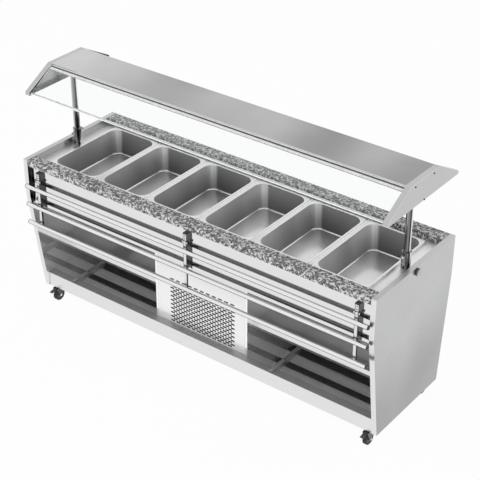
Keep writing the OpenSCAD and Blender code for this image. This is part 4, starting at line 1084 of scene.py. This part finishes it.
class SALAD_OT_machine(Operator):
    """Models the compressor, the finned condenser, the fan, its motor and the pipes"""
    bl_idname = "salad.machine"
    bl_label = "Machine"

    def compressor(self):
        """The pot on its plate and rubber feet, with the relay's cover and two pipe stubs."""
        low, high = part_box("compressor")
        foot = Vector(((low.x + high.x) / 2, (low.y + high.y) / 2, low.z))
        pot = turned("compressor_pot", [(58, 18), (70, 20), (74, 26), (75, 34), (75, 98), (76.5, 100),
                                        (76.5, 106), (75, 108), (75, 150), (72.5, 172), (64, 190),
                                        (48, 202), (26, 207), (6, 208)], foot, (0, 0, 1), 64)
        dress(pot, "Black Enamel", "compressor")
        plate_foot, plate_top, foot_reach = 0.015, 0.018, 0.083
        plate = add_block("compressor_plate", (low.x, low.y, low.z + plate_foot),
                          (high.x, high.y, low.z + plate_top), 0.001)
        dress(plate, "Zinc Plate")
        feet = [turned("foot", [(13, 0), (13, 4), (9.5, 5), (9.5, 9), (13, 10), (12, 15)],
                       foot + foot_reach * Vector((side, end, 0)), sides=28)
                for side in (-1, 1) for end in (-1, 1)]
        dress(joined("compressor_feet", feet), "Tyre Rubber")
        relay = add_block("relay_cover", foot + Vector((-0.03, -0.105, 0.06)),
                          foot + Vector((0.03, -0.06, 0.13)), 0.004, 3)
        with editing(relay):
            pick_faces(relay, lambda middle, normal: normal.y < -0.99)
            bpy.ops.mesh.inset(thickness=0.006)
            extrude(y=0.0015)
        dress(relay, "Black Plastic")
        stubs = [turned("stub", [(5, 0), (5, 12), (6.5, 12.5), (6.5, 15)],
                        foot + Vector((sign * 0.075, 0, 0.12)), (sign, 0, 0), 20) for sign in (-1, 1)]
        dress(joined("compressor_stubs", stubs), "Copper Pipe")

    def condenser(self):
        """Two end plates, fins between them, the fan's duct behind them and rows of pipe."""
        low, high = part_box("condenser")
        coil_depth, sheet, fin_sheet, end_gap = 0.05, 0.002, 0.0006, 0.006
        high.y = low.y + coil_depth
        ends = [add_block("end", low, (low.x + sheet, high.y, high.z), 0.0005, 1),
                add_block("end", (high.x - sheet, low.y, low.z), high, 0.0005, 1)]
        dress(joined("condenser_ends", ends), "Zinc Plate")
        fin = add_block("fin", (-fin_sheet / 2, low.y + 0.001, low.z + 0.003),
                        (fin_sheet / 2, high.y - 0.001, high.z - 0.003))
        with editing(fin, "EDGE"):
            pick_edges(fin, lambda a, b: abs(a.x - b.x) < 0.0001 and max(a.y, b.y) < low.y + 0.002)
            bpy.ops.mesh.bevel(offset=0.0002, segments=1, affect="EDGES")
        pitch = sizes().fin_pitch
        count = int((high.x - low.x - 0.008) / pitch)
        fins = [copied(fin, "fin", Matrix.Translation((low.x + end_gap + step * pitch, 0, 0)))
                for step in range(count)]
        bpy.data.objects.remove(fin)
        dress(joined("condenser_fins", fins), "Coated Fins", "condenser")
        self.fan_duct(high.y)
        run_in, first_run, run_pitch, rows = 0.015, 0.02, 0.025, 10
        runs = [turned("run", [(4, -2), (4, 322)],
                       (low.x - 0.001, y, low.z + first_run + run_pitch * row), (1, 0, 0), 16)
                for y in (low.y + run_in, high.y - run_in) for row in range(rows)]
        dress(joined("condenser_runs", runs), "Copper Pipe")

    def fan_duct(self, front_y):
        hub = JOINT_AT["fan_spin"]
        duct = turned("fan_duct", [(102, 0), (104, 0), (104, 34), (102, 34), (102, 0)],
                      (hub.x, front_y, hub.z), (0, 1, 0), 72, True)
        dress(duct, "Black Enamel")

    def fan_motor(self):
        """The motor's shell round the fan's axis, standing on its foot."""
        hub = JOINT_AT["fan_spin"]
        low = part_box("fan_motor")[0]
        motor = turned("fan_motor_shell", [(10, 0), (30, 0), (40, 3), (42, 7), (42, 28), (40.5, 29),
                                           (40.5, 36), (42, 37), (42, 58), (38, 64), (14, 66)],
                       (hub.x, low.y, hub.z), (0, 1, 0), 48)
        dress(motor, "Black Enamel", "fan_motor")
        half_width, front, back, height = 0.025, 0.024, 0.048, 0.102
        leg = add_block("fan_motor_foot", (hub.x - half_width, low.y + front, low.z),
                        (hub.x + half_width, low.y + back, low.z + height), 0.002)
        dress(leg, "Zinc Plate")

    def execute(self, context):
        self.compressor()
        self.condenser()
        self.fan_motor()
        dress(softened("fan_rotor", 0.0006), "Black Plastic", "fan_rotor")
        dress(softened("refrigerant_pipes", 0), "Copper Pipe", "refrigerant_pipes", angle=50)
        return {"FINISHED"}


class SALAD_OT_controls(Operator):
    """Models the control box with its gland, the dial's marks, the rocker and the drain"""
    bl_idname = "salad.controls"
    bl_label = "Controls and Drain"

    def execute(self, context):
        dress(softened("control_box", 0.0012, 3), "Dark Housing", "control_box")
        dress(softened("thermostat_knob", 0.001, 3), "Black Plastic", "thermostat_knob")
        dress(softened("power_switch", 0.0008), "Signal Red", "power_switch")
        low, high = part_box("control_box")
        turn_of = JOINT_AT["thermostat_turn"]
        dial = Vector((turn_of.x, high.y, turn_of.z))
        start, step_angle, mark_count = 225, 45, 7
        marks = []
        for step in range(mark_count):
            mark = add_block("mark", (-0.0006, 0, 0.0195), (0.0006, 0.0003, 0.024), 0.0001, 1)
            turn = Matrix.Rotation(radians(start - step * step_angle) - pi / 2, 4, "Y")
            mark.data.transform(Matrix.Translation(dial) @ turn)
            marks.append(mark)
        dress(joined("dial_marks", marks), "White Print")
        screw_in, top_in, foot_in = 0.008, 0.01, 0.028
        screws = [(Vector((x, high.y, z)), (0, 1, 0)) for x in (low.x + screw_in, high.x - screw_in)
                  for z in (low.z + foot_in, high.z - top_in)]
        dress(row_of("case_screws", screw_head(0.007), screws), "Chrome")
        dress(softened("drain_valve", 0.0008), "Brass", "drain_valve")
        dress(softened("drain_lever", 0.0015, 3), "Signal Red", "drain_lever")
        return {"FINISHED"}


class SALAD_OT_stage(Operator):
    """Sets the floor, the white surroundings, the soft lamps and the camera"""
    bl_idname = "salad.stage"
    bl_label = "Stage"

    def seen_white(self, wires, lit, white):
        """White where it is looked at, straight, in metal or through glass; the lit shader elsewhere."""
        path = wires.add("LightPath").outputs
        looked = wires.math("MAXIMUM", path["Is Camera Ray"], path["Is Glossy Ray"])
        looked = wires.math("MAXIMUM", looked, path["Is Transmission Ray"])
        return wires.add("MixShader", {0: looked, 1: lit, 2: white}).outputs[0]

    def floor(self):
        """White paper that keeps a trace of the contact shadow."""
        bpy.ops.object.select_all(action="DESELECT")
        bpy.ops.mesh.primitive_plane_add(size=60, location=(0, 0, -0.0005))
        floor = bpy.context.active_object
        floor.name = "floor"
        settle(floor)
        material = bpy.data.materials.new("Studio Floor")
        material.use_nodes = True
        wires = Wiring(material.node_tree)
        material.node_tree.nodes.clear()
        paper = wires.blend(wires.noise(wires.place(), 3.0), (0.8, 0.8, 0.8, 1), (0.82, 0.82, 0.82, 1))
        plain = wires.add("BsdfDiffuse", {"Color": paper}).outputs[0]
        glow = wires.add("Emission", {"Strength": 1.0}).outputs[0]
        veil = wires.add("MixShader", {0: 0.96, 1: plain, 2: glow}).outputs[0]
        lit = wires.add("MixShader", {0: 0.95, 1: plain, 2: glow}).outputs[0]
        output = wires.add("OutputMaterial")
        wires.feed(output.inputs["Surface"], self.seen_white(wires, lit, veil))
        floor.data.materials.append(material)

    def world(self, scene):
        scene.world = bpy.data.worlds.new("Studio")
        scene.world.use_nodes = True
        tree = scene.world.node_tree
        tree.nodes.clear()
        wires = Wiring(tree)
        soft = wires.add("Background", {"Color": (0.98, 0.99, 1, 1), "Strength": 0.7}).outputs[0]
        white = wires.add("Background", {"Color": (1, 1, 1, 1), "Strength": 1.0}).outputs[0]
        output = wires.add("OutputWorld")
        wires.feed(output.inputs["Surface"], self.seen_white(wires, soft, white))

    def lamp(self, name, place, energy, size):
        """A square soft lamp aimed at the counter, left out of mirror rays."""
        light = bpy.data.lights.new(name, "AREA")
        light.energy = energy
        light.size = size
        lamp = bpy.data.objects.new(name, light)
        lamp.location = place
        lamp.visible_glossy = False
        lamp.rotation_euler = (Vector((0, 0, 0.7)) - Vector(place)).to_track_quat("-Z", "Y").to_euler()
        bpy.context.scene.collection.objects.link(lamp)

    def camera(self, scene):
        """The photograph's camera, as fitted to the pitch of the pans."""
        down, around, roll = 31.493, 37.192, 0.137
        turn = Euler((radians(90 - down), 0, radians(around))).to_matrix()
        data = bpy.data.cameras.new("camera")
        data.lens = 100
        data.sensor_width = 36
        data.clip_end = 200
        scene.camera = bpy.data.objects.new("camera", data)
        scene.camera.location = (3.6303, -4.6892 + MIDDLE_Y, 4.3045)
        scene.camera.rotation_euler = (turn @ Matrix.Rotation(radians(roll), 3, "Z")).to_euler()
        scene.collection.objects.link(scene.camera)

    def execute(self, context):
        scene = context.scene
        self.floor()
        self.world(scene)
        self.lamp("key", (-3.5, -4.5, 5.5), 130, 6.5)
        self.lamp("fill", (5.0, -1.5, 3.5), 40, 4)
        self.lamp("low", (0.3, -4.2, 0.6), 40, 3)
        scene.view_settings.view_transform = "Standard"
        self.camera(scene)
        return {"FINISHED"}


PIECES = (SALAD_OT_stage, SALAD_OT_cabinet, SALAD_OT_fascia, SALAD_OT_shelves, SALAD_OT_rear,
          SALAD_OT_stone, SALAD_OT_pans, SALAD_OT_canopy, SALAD_OT_knobs, SALAD_OT_tray,
          SALAD_OT_casters, SALAD_OT_machine, SALAD_OT_controls)


class SALAD_PT_panel(Panel):
    """Lists the pieces, sizes and colours"""
    bl_idname = "SALAD_PT_panel"
    bl_label = "Salad Bar"
    bl_space_type = "VIEW_3D"
    bl_region_type = "UI"
    bl_category = "Salad Bar"

    def draw(self, context):
        for piece in PIECES:
            self.layout.operator(piece.bl_idname)
        for group in (context.scene.salad_bar_sizes, context.scene.salad_bar_colours):
            box = self.layout.box()
            for name in group.__annotations__:
                box.prop(group, name)


CLASSES = (SaladBarSizes, SaladBarColours, *PIECES, SALAD_PT_panel)


def register():
    for kind in CLASSES:
        bpy.utils.register_class(kind)
    bpy.types.Scene.salad_bar_sizes = PointerProperty(type=SaladBarSizes)
    bpy.types.Scene.salad_bar_colours = PointerProperty(type=SaladBarColours)


def unregister():
    del bpy.types.Scene.salad_bar_colours
    del bpy.types.Scene.salad_bar_sizes
    for kind in reversed(CLASSES):
        bpy.utils.unregister_class(kind)


def main():
    register()
    bpy.ops.salad.stage()
    bpy.ops.salad.cabinet()
    bpy.ops.salad.fascia()
    bpy.ops.salad.shelves()
    bpy.ops.salad.rear()
    bpy.ops.salad.stone()
    bpy.ops.salad.pans()
    bpy.ops.salad.canopy()
    bpy.ops.salad.knobs()
    bpy.ops.salad.tray()
    bpy.ops.salad.casters()
    bpy.ops.salad.machine()
    bpy.ops.salad.controls()


if __name__ == "__main__":
    main()
